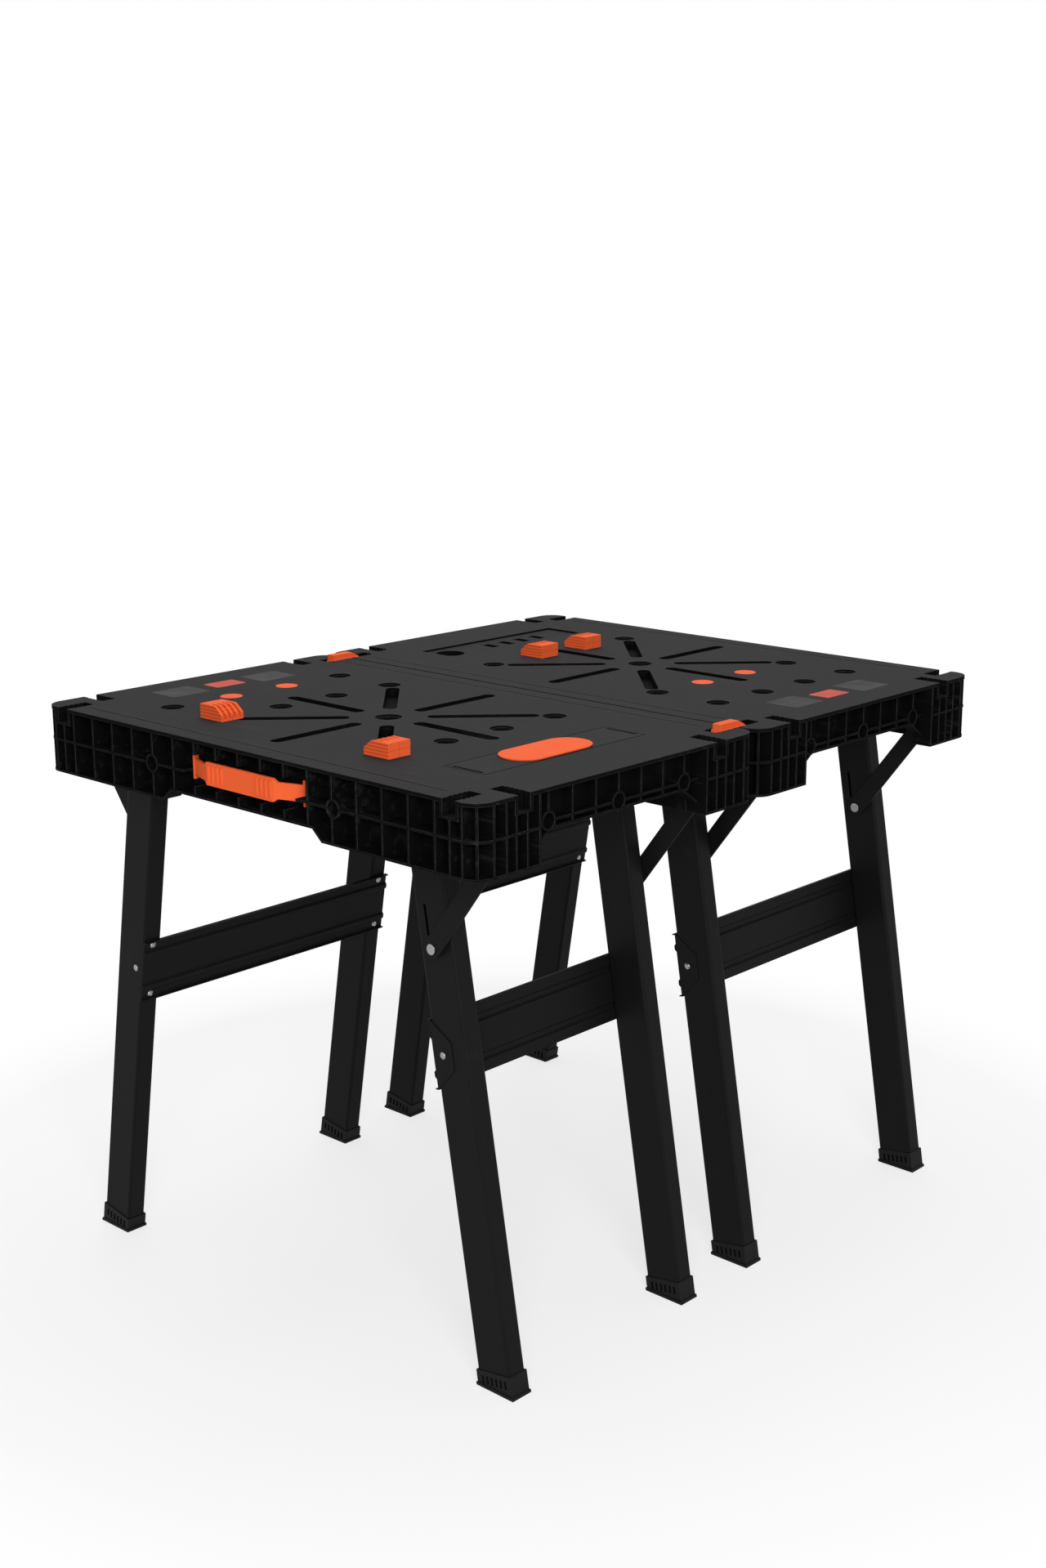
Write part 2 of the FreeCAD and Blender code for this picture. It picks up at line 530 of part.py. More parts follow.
def make_guides():
    """Walls beside the legs, with the slots that the leg pivots slide in and the brace pivot holes."""
    walls = []
    for name, frame in FRAMES.items():
        planes = {"inner": f"({frame['inner_face']} - guide_gap - guide_thickness)"}
        if name == "narrow":
            planes["outer"] = f"({frame['outer_face']} + guide_gap)"
        carries_brace = "inner" if name == "wide" else "outer"
        for place_name, low in planes.items():
            for side in (1, -1):
                wall = Piece(f"{name}_{place_name}_guide")
                middle = f"{-side} * ({low} + guide_thickness / 2)"
                wall.pad(wall.sketch("XZ_Plane", middle).rectangle(
                    f"{frame['end']} * {WALL_X}", f"{frame['end']} * ({HALF_X} - guide_reach)",
                    f"{SKIRT_LOW} + guide_lift", DECK_LOW), "guide_thickness", both=True)
                slot = guide_slot(wall.sketch("XZ_Plane", middle), frame)
                wall.pocket(slot, "2 * guide_thickness", both=True)
                if place_name == carries_brace:
                    wall.pocket(wall.sketch("XZ_Plane", middle).circle(
                        f"{frame['end']} * ({HALF_X} - brace_inset)", f"{frame['pivot_z']} - brace_drop",
                        "brace_pin_radius + running_clearance"), "2 * guide_thickness", both=True)
                walls.append(wall.body)
    return walls


def make_top():
    """The moulded top in one piece: deck, ribbed skirt and the guide walls for the legs."""
    top = joined("top", [make_skirt(), make_deck()] + make_guides())
    top.Label = "top"
    return top


def make_leg(name, frame, side):
    """A box-section leg, upright in its own frame with the sliding pivot at its origin, then splayed."""
    leg = Piece(f"{name}_leg_{SIDE_NAMES[side]}")
    low = f"-({frame['floor_run']} - foot_floor)"
    half_x, half_y = "leg_depth / 2", "leg_thickness / 2"
    leg.pad(leg.sketch("XY_Plane", low).rounded(half_x, half_y, "leg_corner"),
            f"{frame['floor_run']} - foot_floor + leg_head")
    leg.pocket(leg.sketch("XY_Plane", "leg_head").rounded(
        f"({half_x} - leg_wall)", f"({half_y} - leg_wall)", "(leg_corner - leg_wall)"),
        f"{frame['floor_run']} + leg_head")
    leg.pocket(leg.sketch("XZ_Plane").circle("0", "0", "pivot_radius + running_clearance"),
               "2 * leg_thickness", both=True)
    # lock slot on the face that carries the brace
    inward = -frame["end"]
    toward_brace = side * frame["end"]
    slot = leg.sketch("XZ_Plane", f"{-toward_brace} * {half_y}")
    slot_x = f"{inward} * lock_slot_offset"
    slot.stadium("-lock_slot_end", "-lock_slot_start", slot_x, "lock_slot_radius", upright=True)
    leg.pocket(slot, "leg_wall + leg_thickness / 4", reverse=toward_brace > 0)
    # rivet holes for the crossbar's panel and its flap
    panel_holes = leg.sketch("YZ_Plane", f"{inward} * {half_x}")
    for up in (1, -1):
        panel_holes.circle("0", f"-{frame['bar']} + {up} * rivet_spacing / 2",
                           "rivet_radius + running_clearance")
    leg.pocket(panel_holes, "leg_depth / 4", reverse=inward < 0)
    flap_hole = leg.sketch("XZ_Plane", f"{-side} * {half_y}").circle(
        f"{inward} * flap_rivet_offset", f"-{frame['bar']}", "rivet_radius + running_clearance")
    leg.pocket(flap_hole, "leg_thickness / 4", reverse=side > 0)
    return place_in_frame(leg.body, frame, f"{side} * {frame['leg_y']}")


def place_in_frame(item, frame, y):
    """Put a piece drawn about the leg pivot at its splayed place."""
    x = f"{frame['end']} * ({HALF_X} - pivot_inset)"
    return place(item, x, y, frame["pivot_z"], f"{-frame['end']} * leg_splay")


def make_foot(name, frame, side):
    """A sleeve over the leg's end with a floor, a lip that lies flat on the ground and a grille."""
    foot = Piece(f"{name}_foot_{SIDE_NAMES[side]}")
    sleeve, lip = "(leg_depth / 2 + foot_wall)", "(leg_depth / 2 + foot_wall + foot_lip)"

    def ground(x, lift="0"):
        return f"-{frame['floor_run']} - {frame['end']} * ({x}) * tan(leg_splay) + {lift}"
    rim = f"-{frame['floor_run']} + foot_height"
    foot.pad(foot.sketch("XZ_Plane").outline(
        [(f"-{sleeve}", ground(f"-{sleeve}")), (sleeve, ground(sleeve)), (sleeve, rim), (f"-{sleeve}", rim)]),
        "leg_thickness + 2 * foot_wall", both=True)
    foot.pad(foot.sketch("XZ_Plane").outline(
        [(f"-{lip}", ground(f"-{lip}")), (lip, ground(lip)), (lip, ground(lip, "foot_lip_height")),
         (f"-{lip}", ground(f"-{lip}", "foot_lip_height"))]),
        "leg_thickness + 2 * foot_wall + 2 * foot_lip", both=True)
    foot.pocket(foot.sketch("XY_Plane", rim).rounded(
        "(leg_depth / 2 + fit_clearance)", "(leg_thickness / 2 + fit_clearance)", "leg_corner"),
        "foot_height - foot_floor")
    # a plug inside the leg
    foot.pad(foot.sketch("XY_Plane", f"-{frame['floor_run']} + foot_floor").rounded(
        "(leg_depth / 2 - leg_wall - fit_clearance)", "(leg_thickness / 2 - leg_wall - fit_clearance)",
        "(leg_corner - leg_wall)"), "foot_plug")
    for face in (1, -1):
        bar = foot.sketch("XZ_Plane", f"{-face} * (leg_thickness / 2 + foot_wall)").rectangle(
            "grille_start - grille_width / 2", "grille_start + grille_width / 2",
            f"-{frame['floor_run']} + grille_low", f"-{frame['floor_run']} + grille_high")
        cut = foot.pocket(bar, "grille_depth", reverse=face > 0)
        foot.row(cut, "X_Axis", "grille_count", "grille_pitch")
    return place_in_frame(foot.body, frame, f"{side} * {frame['leg_y']}")


def make_crossbar(name, frame):
    """A pressed sheet across the legs' inner faces: lips, two beads, and flaps bent round the legs."""
    bar = Piece(f"{name}_crossbar")
    inward = -frame["end"]
    middle = f"(-{frame['bar']})"
    half = "bar_height / 2"

    def across(depth):
        return f"{inward} * (leg_depth / 2 + {depth})"
    # one side of the sheet's section from the upper lip down to the lower lip, then back along the other
    bead = "(bar_height / 2 - bar_bead_edge)"
    near = [("bar_lip", half), ("0", half)]
    far = [("bar_lip", f"({half} - bar_sheet)"), ("bar_sheet", f"({half} - bar_sheet)")]
    for sign in (1, -1):
        ends = (bead, f"({bead} - bar_bead_width)") if sign > 0 else (f"({bead} - bar_bead_width)", bead)
        for edge, rise in ((ends[0], "0"), (f"({ends[0]} - {sign} * bar_bead_rise)", "bar_bead_rise"),
                           (f"({ends[1]} + {sign} * bar_bead_rise)", "bar_bead_rise"), (ends[1], "0")):
            near.append((rise, f"{sign} * {edge}"))
            far.append((f"({rise} + bar_sheet)", f"{sign} * {edge}"))
    near += [("0", f"-{half}"), ("bar_lip", f"-{half}")]
    far += [("bar_sheet", f"-({half} - bar_sheet)"), ("bar_lip", f"-({half} - bar_sheet)")]
    section = [(across(depth), f"{middle} + {height}") for depth, height in near + list(reversed(far))]
    bar.pad(bar.sketch("XZ_Plane").outline(section), f"2 * ({frame['outer_face']} + flap_sheet)", both=True)
    flap = [(across("bar_sheet"), f"{middle} + {half}"),
            (across("-flap_reach"), f"{middle} + {half} - flap_chamfer"),
            (across("-flap_reach"), f"{middle} - {half} + flap_chamfer"),
            (across("bar_sheet"), f"{middle} - {half}")]
    plate = bar.sketch("XZ_Plane", f"-{frame['outer_face']}").outline(flap)
    bar.mirror(bar.pad(plate, "flap_sheet", reverse=True), "XZ_Plane")
    panel_holes = bar.sketch("YZ_Plane", across("-bar_sheet"))
    for side in (1, -1):
        for up in (1, -1):
            panel_holes.circle(f"{side} * {frame['leg_y']}", f"{middle} + {up} * rivet_spacing / 2",
                               "rivet_radius + running_clearance")
    bar.pocket(panel_holes, "4 * bar_sheet", reverse=inward > 0)
    flap_hole = bar.sketch("XZ_Plane").circle(
        f"{inward} * flap_rivet_offset", middle, "rivet_radius + running_clearance")
    bar.pocket(flap_hole, "2 * bench_width", both=True)
    return place_in_frame(bar.body, frame, "0")


def make_crossbar_rivets(name, frame):
    """Rivets with a shank through sheet and leg wall: two on each leg's inner face, one on each flap."""
    inward = -frame["end"]
    rivets = []
    for side in (1, -1):
        for up in (1, -1):
            face = f"{inward} * (leg_depth / 2 + bar_sheet)"
            rivets.append(rivet(f"{name}_panel_rivet", face, f"{side} * {frame['leg_y']}",
                                f"-{frame['bar']} + {up} * rivet_spacing / 2", (inward, 0), "bar_sheet"))
        rivets.append(rivet(f"{name}_flap_rivet", f"{inward} * flap_rivet_offset",
                            f"{side} * ({frame['outer_face']} + flap_sheet)", f"-{frame['bar']}",
                            (0, side), "flap_sheet"))
    return place_in_frame(group(f"{name}_crossbar_rivets", rivets), frame, "0")


def rivet(label, x, y, z, outward, sheet):
    """A shank and a low conical head; outward is the direction of the head along X or Y."""
    turn = FreeCAD.Rotation(FreeCAD.Vector(0, 0, 1), FreeCAD.Vector(outward[0], outward[1], 0))
    shank = DOCUMENT.addObject("Part::Cylinder", label + "_shank")
    shank.setExpression("Radius", formula("rivet_radius"))
    shank.setExpression("Height", formula(f"{sheet} + leg_wall + rivet_tail"))
    head = DOCUMENT.addObject("Part::Cone", label + "_head")
    head.setExpression("Radius1", formula("rivet_head_radius"))
    head.setExpression("Radius2", formula("rivet_head_radius / 2"))
    head.setExpression("Height", formula("rivet_head_height"))
    depth = f"({sheet} + leg_wall + rivet_tail)"
    for item, back in ((head, "0"), (shank, depth)):
        item.Placement = FreeCAD.Placement(FreeCAD.Vector(), turn)
        places = (f"{x} - {outward[0]} * {back}", f"{y} - {outward[1]} * {back}", z)
        for axis, size in zip("xyz", places):
            item.setExpression(f"Placement.Base.{axis}", formula(size))
    return joined(label, [shank, head])


def make_brace(name, frame, side):
    """A flat bar with round ends, drawn from its pivot along X, then swung down to the leg."""
    brace = Piece(f"{name}_brace_{SIDE_NAMES[side]}")
    outline = brace.sketch("XZ_Plane").stadium("0", BRACE_LENGTH, "0", "brace_width / 2")
    brace.pad(outline, "brace_thickness", both=True)
    holes = brace.sketch("XZ_Plane")
    for x in ("0", BRACE_LENGTH):
        holes.circle(x, "0", "brace_pin_radius + running_clearance")
    brace.pocket(holes, "2 * brace_thickness", both=True)
    turn = BRACE_ANGLE if frame["end"] < 0 else f"180 deg - {BRACE_ANGLE}"
    return place(brace.body, f"{frame['end']} * ({HALF_X} - brace_inset)", f"{side} * {frame['brace_y']}",
                 f"{frame['pivot_z']} - brace_drop", turn)


def make_leg_pivots(name, frame):
    """Plain pins through the leg heads, running in the guide slots on both sides."""
    x = f"{frame['end']} * ({HALF_X} - pivot_inset)"
    low = f"({frame['inner_face']} - guide_gap - guide_thickness + pin_end_gap)"
    high = f"({frame['outer_face']} + guide_gap + guide_thickness)"
    if name == "wide":
        high = f"({WALL_Y} - pin_end_gap)"
    pins = [cylinder(f"{name}_leg_pivot", x, low, high, frame["pivot_z"], "pivot_radius"),
            cylinder(f"{name}_leg_pivot", x, f"-{high}", f"-{low}", frame["pivot_z"], "pivot_radius")]
    return group(f"{name}_leg_pivots", pins)


def mirrored_pins(label, x, z, steps):
    """Stepped pins on both sides; steps are (low, high, radius) along Y from the middle of the bench."""
    pins = []
    for side in (1, -1):
        discs = []
        for low, high, radius in steps:
            ends = (low, high) if side > 0 else (f"-({high})", f"-({low})")
            discs.append(cylinder(f"{label}_disc", x, ends[0], ends[1], z, radius))
        pins.append(joined(f"{label}_pin", discs))
    return group(label, pins)


def brace_steps(name, frame, reach):
    """A head beyond the brace, a shank through it, and reach: what the pin has on the other side."""
    near, far = f"({frame['brace_y']} - brace_thickness / 2)", f"({frame['brace_y']} + brace_thickness / 2)"
    if name == "wide":
        return [(f"{near} - brace_head_height", near, "brace_head_radius"), (near, far, "brace_pin_radius"),
                (far, reach[0], reach[1])]
    return [(far, f"{far} + brace_head_height", "brace_head_radius"), (near, far, "brace_pin_radius"),
            (reach[0], near, reach[1])]


def make_brace_pivots(name, frame):
    """Pins that hold the braces to the guide walls."""
    wall = f"({frame['outer_face']} + guide_gap)"
    if name == "wide":
        wall = f"({frame['inner_face']} - guide_gap)"
    x = f"{frame['end']} * ({HALF_X} - brace_inset)"
    z = f"{frame['pivot_z']} - brace_drop"
    steps = brace_steps(name, frame, (wall, "brace_pin_radius"))
    return mirrored_pins(f"{name}_brace_pivots", x, z, steps)


def make_brace_rivets(name, frame):
    """Rivets at the lower end of the braces, with a spacer that stops just short of the leg."""
    leg = f"({frame['outer_face']} + open_clearance)"
    if name == "wide":
        leg = f"({frame['inner_face']} - open_clearance)"
    x = f"{frame['end']} * ({HALF_X} - brace_inset - {BRACE_RUN})"
    z = f"{frame['pivot_z']} - brace_drop - {BRACE_FALL}"
    steps = brace_steps(name, frame, (leg, "brace_head_radius"))
    return mirrored_pins(f"{name}_brace_rivets", x, z, steps)


def make_dog(label, x, y, end):
    """An orange bench dog: a wedge-nosed block with grooves, on a peg in a dog hole."""
    dog = Piece(label)
    half = "dog_length / 2"
    side = [(f"-{half}", "0"), (half, "0"), (half, "dog_height"), (f"-{half} + dog_slope", "dog_height"),
            (f"-{half}", "dog_nose")]
    profile = side if end > 0 else [(f"-({run})", rise) for run, rise in reversed(side)]
    dog.pad(dog.sketch("XZ_Plane").outline(profile), "dog_width", both=True)
    peg = dog.sketch("XY_Plane").circle("0", "0", "dog_hole_radius - dog_clearance")
    dog.pad(peg, "dog_peg_length", reverse=True)
    start = "-(dog_groove_count - 1) / 2 * dog_groove_pitch"
    top_groove = dog.sketch("XY_Plane", "dog_height").rectangle(
        f"-{half} - cut_overrun", f"{half} + cut_overrun",
        f"{start} - dog_groove / 2", f"{start} + dog_groove / 2")
    dog.row(dog.pocket(top_groove, "dog_groove"), "Y_Axis", "dog_groove_count", "dog_groove_pitch")
    lines = [f"dog_height * {step} / 4" for step in (1, 2, 3)]
    for face in (1, -1):
        grooves = dog.sketch("XZ_Plane", f"{-face} * dog_width / 2")
        for height in lines:
            grooves.rectangle(f"-{half} + dog_slope / 2", f"{half} - dog_slope / 2",
                              f"{height} - dog_side_groove / 2", f"{height} + dog_side_groove / 2")
        dog.pocket(grooves, "dog_side_groove", reverse=face > 0)
    # a cross of two grooves on the flat clamping end
    strips = (("-dog_width", "dog_width", lines[1], lines[1]), ("0", "0", "0", "dog_height"))
    for low_y, high_y, low_z, high_z in strips:
        cross = dog.sketch("YZ_Plane", f"{end} * {half}").rectangle(
            f"{low_y} - dog_side_groove / 2", f"{high_y} + dog_side_groove / 2",
            f"{low_z} - dog_side_groove / 2", f"{high_z} + dog_side_groove / 2")
        dog.pocket(cross, "dog_side_groove", reverse=end < 0)
    return place(dog.body, x, y, "bench_height")


def make_handle():
    """A bowed carrying handle: a strap with a ribbed grip, necks that run back, and upright end plates."""
    handle = Piece("handle")
    end = "(handle_recess_half - handle_clearance)"
    back = "(handle_bow + handle_thickness)"
    front_line = [(f"-{end}", "handle_bow"), ("-handle_grip_half", "0"), ("handle_grip_half", "0"),
                  (end, "handle_bow")]
    back_line = [(end, back), ("handle_grip_half", "handle_thickness"),
                 ("-handle_grip_half", "handle_thickness"), (f"-{end}", back)]
    handle.pad(handle.sketch("XY_Plane").outline(front_line + back_line), "handle_grip_height", both=True)
    # the necks are lower than the grip
    neck = "(handle_grip_half + handle_shoulder)"
    for side in ("1", "-1"):
        for up in ("1", "-1"):
            corner = [("handle_grip_half", "handle_grip_height / 2"), (neck, "handle_neck_height / 2"),
                      (f"({end} + cut_overrun)", "handle_neck_height / 2"),
                      (f"({end} + cut_overrun)", "(handle_grip_height / 2 + cut_overrun)"),
                      ("handle_grip_half", "(handle_grip_height / 2 + cut_overrun)")]
            outline = [(f"{side} * {x}", f"{up} * {z}") for x, z in corner]
            if side != up:
                outline.reverse()
            handle.pocket(handle.sketch("XZ_Plane").outline(outline), "4 * handle_bow", both=True)
    # end plates
    for side in ("1", "-1"):
        ends = sorted((f"{side} * {end}", f"{side} * ({end} - handle_end_width)"), key=number)
        plate = handle.sketch("XY_Plane").rectangle(ends[0], ends[1], "handle_bow - handle_end_lip",
                                                    f"{back} + handle_end_lip")
        handle.pad(plate, "handle_end_height", both=True)
    grip = "handle_grip_height / 2"
    for side in (1, -1):
        start = f"{side} * (handle_grip_half - handle_rib_pitch / 2)"
        rib = handle.pad(handle.sketch("XZ_Plane").rectangle(
            f"{start} - handle_rib_width / 2", f"{start} + handle_rib_width / 2",
            f"-{grip} + handle_rib_width", f"{grip} - handle_rib_width"), "handle_rib_height")
        pattern = handle.row(rib, "X_Axis", "handle_rib_count", "handle_rib_pitch")
        pattern.Reversed = side > 0
    middle = "bench_height - handle_recess_drop - handle_recess_height / 2"
    return place(handle.body, "0", f"-{HALF_Y} + handle_inset + handle_rib_height", middle)


def make_caps(label, column):
    """Discs pressed into two dog holes of one column, flush with the deck."""
    caps = []
    for side in ("1", "-1"):
        disc = DOCUMENT.addObject("Part::Cylinder", "cap_disc")
        disc.setExpression("Radius", formula("dog_rim_radius - cap_clearance"))
        disc.setExpression("Height", formula("cap_thickness"))
        for axis, size in zip("xyz", (column, f"{side} * dog_row_near", "bench_height - dog_rim_depth")):
            disc.setExpression(f"Placement.Base.{axis}", formula(size))
        caps.append(disc)
    return group(label, caps)


def make_lid():
    """The tray's lid, flush with the deck, with a sunk bed for its inlay."""
    lid = Piece("tray_lid")
    half_x, half_y = "(tray_width / 2 - lid_clearance)", "(tray_length / 2 - lid_clearance)"
    lid.pad(lid.sketch("XY_Plane").rectangle(f"-{half_x}", half_x, f"-{half_y}", half_y), "tray_depth")
    lid.pocket(inlay_outline(lid.sketch("XY_Plane", "tray_depth"), "0"), "inlay_thickness")
    grips = lid.sketch("XY_Plane", "tray_depth")
    for side in (1, -1):
        middle = f"{side} * (tray_length / 2 - lid_grip_edge)"
        grips.rectangle("-lid_grip_length / 2", "lid_grip_length / 2",
                        f"{middle} - lid_grip_width / 2", f"{middle} + lid_grip_width / 2")
    lid.pocket(grips, "lid_grip_depth")
    return place(lid.body, "tray_place", "0", "bench_height - tray_depth")


def inlay_outline(sketch, clearance):
    """The inlay's outline, along Y with round ends."""
    radius = f"(inlay_width / 2 - {clearance})"
    run = "(inlay_length / 2 - inlay_width / 2)"
    return sketch.stadium(f"-{run}", run, "0", radius, upright=True)


def make_inlay():
    inlay = Piece("lid_inlay")
    inlay.pad(inlay_outline(inlay.sketch("XY_Plane"), "cap_clearance"), "inlay_thickness")
    return place(inlay.body, "tray_place", "0", "bench_height - inlay_thickness")


def make_clip(label, end):
    """A link clip in the slots on both sides of the seam: toothed sides, a narrow waist over the seam."""
    clip = Piece(label)
    edge = "(-seam_gap / 2)"
    half = "(link_slot_width / 2 - clip_clearance)"
    teeth = 4
    right = [(f"({half} - clip_waist)", "0")]
    right.append((f"({half} - clip_waist)", f"({edge} - link_lead / 2)"))
    for tooth in range(teeth):
        start = f"({edge} - link_lead - {tooth} * link_tooth_pitch)"
        right.append((half, start))
        right.append((f"({half} + link_tooth)", f"({start} - link_tooth_pitch / 2)"))
    right.append((half, f"({edge} - link_lead - {teeth} * link_tooth_pitch)"))
    right.append((half, f"({edge} - link_slot_length + clip_end_gap)"))
    points = [(x, y) for x, y in reversed(right)] + [(x, f"-{y}") for x, y in right[1:]]
    outline = points + [(f"-{x}", y) for x, y in reversed(points)]
    clip.pad(clip.sketch("XY_Plane").outline(outline), "link_slot_drop + clip_rise")
    return place(clip.body, f"{end} * link_slot_place", "0", "bench_height - link_slot_drop")


SIDE_NAMES = {-1: "handle_side", 1: "seam_side"}
BENCHES = {"near": ("-(bench_width + seam_gap) / 2", 0), "far": ("(bench_width + seam_gap) / 2", 180)}


def bench_pieces():
    """Every piece that both benches have, in the bench's own frame."""
    pieces = [make_top(), make_handle()]
    for name, frame in FRAMES.items():
        for side in SIDE_NAMES:
            for make in (make_leg, make_foot, make_brace):
                pieces.append(make(name, frame, side))
        for make in (make_crossbar, make_crossbar_rivets, make_leg_pivots):
            pieces.append(make(name, frame))
        pieces += [make_brace_pivots(name, frame), make_brace_rivets(name, frame)]
    return pieces


def stand(item, label, bench):
    """A copy of a bench piece where that bench stands."""
    y, turn = BENCHES[bench]
    copy = DOCUMENT.addObject("App::Link", label)
    copy.Label = label
    copy.LinkTransform = True
    copy.LinkedObject = item
    copy.Placement = FreeCAD.Placement(FreeCAD.Vector(), FreeCAD.Rotation(FreeCAD.Vector(0, 0, 1), turn))
    copy.setExpression("Placement.Base.y", formula(y))
    return copy


def build():
    """All sub-parts by name."""
    nodes = {}
    for item in bench_pieces():
        for bench in BENCHES:
            nodes[f"{bench}_{item.Label}"] = stand(item, f"{bench}_{item.Label}", bench)
    for bench, column in (("near", "-end_column"), ("far", "-dog_column")):
        caps = make_caps(f"{bench}_caps_drawing", column)
        nodes[f"{bench}_hole_caps"] = stand(caps, f"{bench}_hole_caps", bench)
    # the near bench's dogs face each other in the row beside the handle, the far bench's stand side by side
    dogs = {"near_dog_left": ("near", "-dog_column", "-dog_row_far", -1),
            "near_dog_right": ("near", "dog_column", "-dog_row_far", 1),
            "far_dog_left": ("far", "dog_column", "dog_row_near", -1),
            "far_dog_right": ("far", "dog_column", "-dog_row_near", -1)}
    for label, (bench, x, y, end) in dogs.items():
        nodes[label] = stand(make_dog(label + "_drawing", x, y, end), label, bench)
    for item in (make_lid(), make_inlay()):
        nodes[item.Label] = stand(item, item.Label + "_near", "near")
    for label, end in (("link_clip_left", -1), ("link_clip_right", 1)):
        nodes[label] = make_clip(label, end)
    return nodes


def check(nodes):
    """Stop on any failed object or bad shape."""
    DOCUMENT.recompute()
    for item in DOCUMENT.Objects:
        if "Invalid" in item.State or "Error" in item.State:
            raise RuntimeError(f"{item.Label} failed: {item.State}")
    for name, item in nodes.items():
        shape = Part.getShape(item)
        if shape.isNull() or not shape.isValid() or not shape.Solids:
            raise RuntimeError(f"{name} has no valid solid")


NODES = build()
check(NODES)
os.makedirs("parts", exist_ok=True)
for node, item in NODES.items():
    Part.getShape(item).exportStep(f"parts/{node}.step")
print(len(NODES), "pieces;", "brace length", round(number(BRACE_LENGTH), 2), "brace angle",
      round(number(BRACE_ANGLE), 3), "folded pivot", round(number(FOLDED_INSET), 3))
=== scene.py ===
import json
import math

import bpy
import numpy as np
from mathutils import Matrix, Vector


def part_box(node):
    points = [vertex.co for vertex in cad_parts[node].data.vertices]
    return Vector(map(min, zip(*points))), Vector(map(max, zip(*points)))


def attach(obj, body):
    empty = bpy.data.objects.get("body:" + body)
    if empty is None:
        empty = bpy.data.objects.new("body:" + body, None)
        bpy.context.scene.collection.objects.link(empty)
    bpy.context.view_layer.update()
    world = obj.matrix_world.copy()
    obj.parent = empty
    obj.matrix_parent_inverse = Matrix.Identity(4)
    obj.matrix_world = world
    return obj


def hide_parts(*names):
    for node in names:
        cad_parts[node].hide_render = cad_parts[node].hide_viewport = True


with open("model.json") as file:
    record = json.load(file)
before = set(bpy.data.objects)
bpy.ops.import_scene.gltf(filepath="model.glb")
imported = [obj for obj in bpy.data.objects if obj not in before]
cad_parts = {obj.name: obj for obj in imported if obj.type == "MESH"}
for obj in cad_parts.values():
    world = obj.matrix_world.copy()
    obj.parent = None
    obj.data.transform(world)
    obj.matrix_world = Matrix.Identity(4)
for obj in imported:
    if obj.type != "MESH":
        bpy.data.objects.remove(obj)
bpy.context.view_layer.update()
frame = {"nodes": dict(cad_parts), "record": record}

# Lengths are in metres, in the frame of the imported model: X along the benches, Y across them, Z up.
NODES = frame["nodes"]
MM = 0.001

# The size of one bench, read from its top, and the distance of a bench's middle line from the seam
TOP_LOW, TOP_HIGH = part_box("near_top")
HALF_LENGTH = (TOP_HIGH.x - TOP_LOW.x) / 2
HALF_WIDTH = (TOP_HIGH.y - TOP_LOW.y) / 2
DECK_Z = TOP_HIGH.z
BENCH_SHIFT = -(TOP_LOW.y + TOP_HIGH.y) / 2
BENCH_SIDES = {"near": -1.0, "far": 1.0}

# The tray lid, with the strip along its outline that lies in shade
LID_LOW, LID_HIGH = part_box("tray_lid")
SEAM_WIDTH = 2.0 * MM

# The dogs: the direction of X from each one's sloping tip into it, and the painted shade lines of its
# shallow grooves
DOG_DIRECTIONS = {"near_dog_left": -1.0, "near_dog_right": 1.0, "far_dog_left": 1.0, "far_dog_right": 1.0}
DOG_HEIGHT = 20.5 * MM
GROOVE_PITCH = 4.4 * MM
GROOVE_WIDTH = 0.7 * MM

# How far under the deck's surface the painted sheen on faces that look up grows thin and ends, and how deep
# the rims of the holes lie
SHEEN_START = 3.4 * MM
SHEEN_DEPTH = 4.0 * MM
RIM_DEPTH = 2.0 * MM

# Ticks of the scale beside the long edges, as distances from a bench's middle line
TICK_PITCH = 10.0 * MM
TICK_WIDTH = 0.9 * MM
TICK_LENGTH = 5.0 * MM
TICK_EDGE = 236.0 * MM
TICK_REACH = 352.0 * MM
TICK_MARGIN = 0.1 * MM

# Fine relief of the finishes
DECK_GRAIN_DEPTH = 0.10 * MM
FOOT_GRAIN_DEPTH = 0.12 * MM
ORANGE_GRAIN_DEPTH = 0.06 * MM
PEEL_DEPTH = 0.08 * MM
TURNING_DEPTH = 0.04 * MM
PRINT_DEPTH = 0.06 * MM

# Edges, partly worn and partly with a painted highlight: the width of the rounding, and how near a wall
# marks an inner corner
EDGE_WIDTH = 1.2 * MM
STEEL_EDGE_WIDTH = 1.6 * MM
RIVET_EDGE_WIDTH = 0.6 * MM
CORNER_REACH = 4.0 * MM

# Camera, fitted to the edges of both tops in a frame of 1280 by 1919 pixels
PHOTO_HEIGHT = 1919
CAMERA_PLACE = (1.9875, -2.1156, 1.3773)
CAMERA_YAW = math.radians(43.201)
CAMERA_PITCH = math.radians(-13.955)
CAMERA_ROLL = math.radians(-0.257)
CAMERA_FOCAL_PIXELS = 2470.5
SENSOR_HEIGHT = 36.0
VIEW_END = 50.0

# Studio: the floor, how far out it turns plain white, and how strongly the world lights the object
WHITE = (1.0, 1.0, 1.0, 1.0)
FLOOR_COLOUR = (0.86, 0.86, 0.86, 1.0)
FLOOR_HALF = 14.0
FLOOR_FADE_START = 0.45
FLOOR_FADE_END = 1.2
FLOOR_GLOW = 0.72
WORLD_LIGHT = 0.26

# Lamps: name, place, the point it looks at, size of the soft box, power in watts
LAMPS = (
    ("overhead soft box", (-0.6, 0.6, 3.4), (0.0, 0.0, 0.8), 3.0, 70.0),
    ("front soft box", (2.7, -2.5, 2.0), (0.0, 0.0, 0.5), 1.8, 124.0),
)


def middle_of(node):
    """The middle of a node's box in X and Y."""
    low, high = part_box(node)
    return (low.x + high.x) / 2, (low.y + high.y) / 2


# Shader helpers

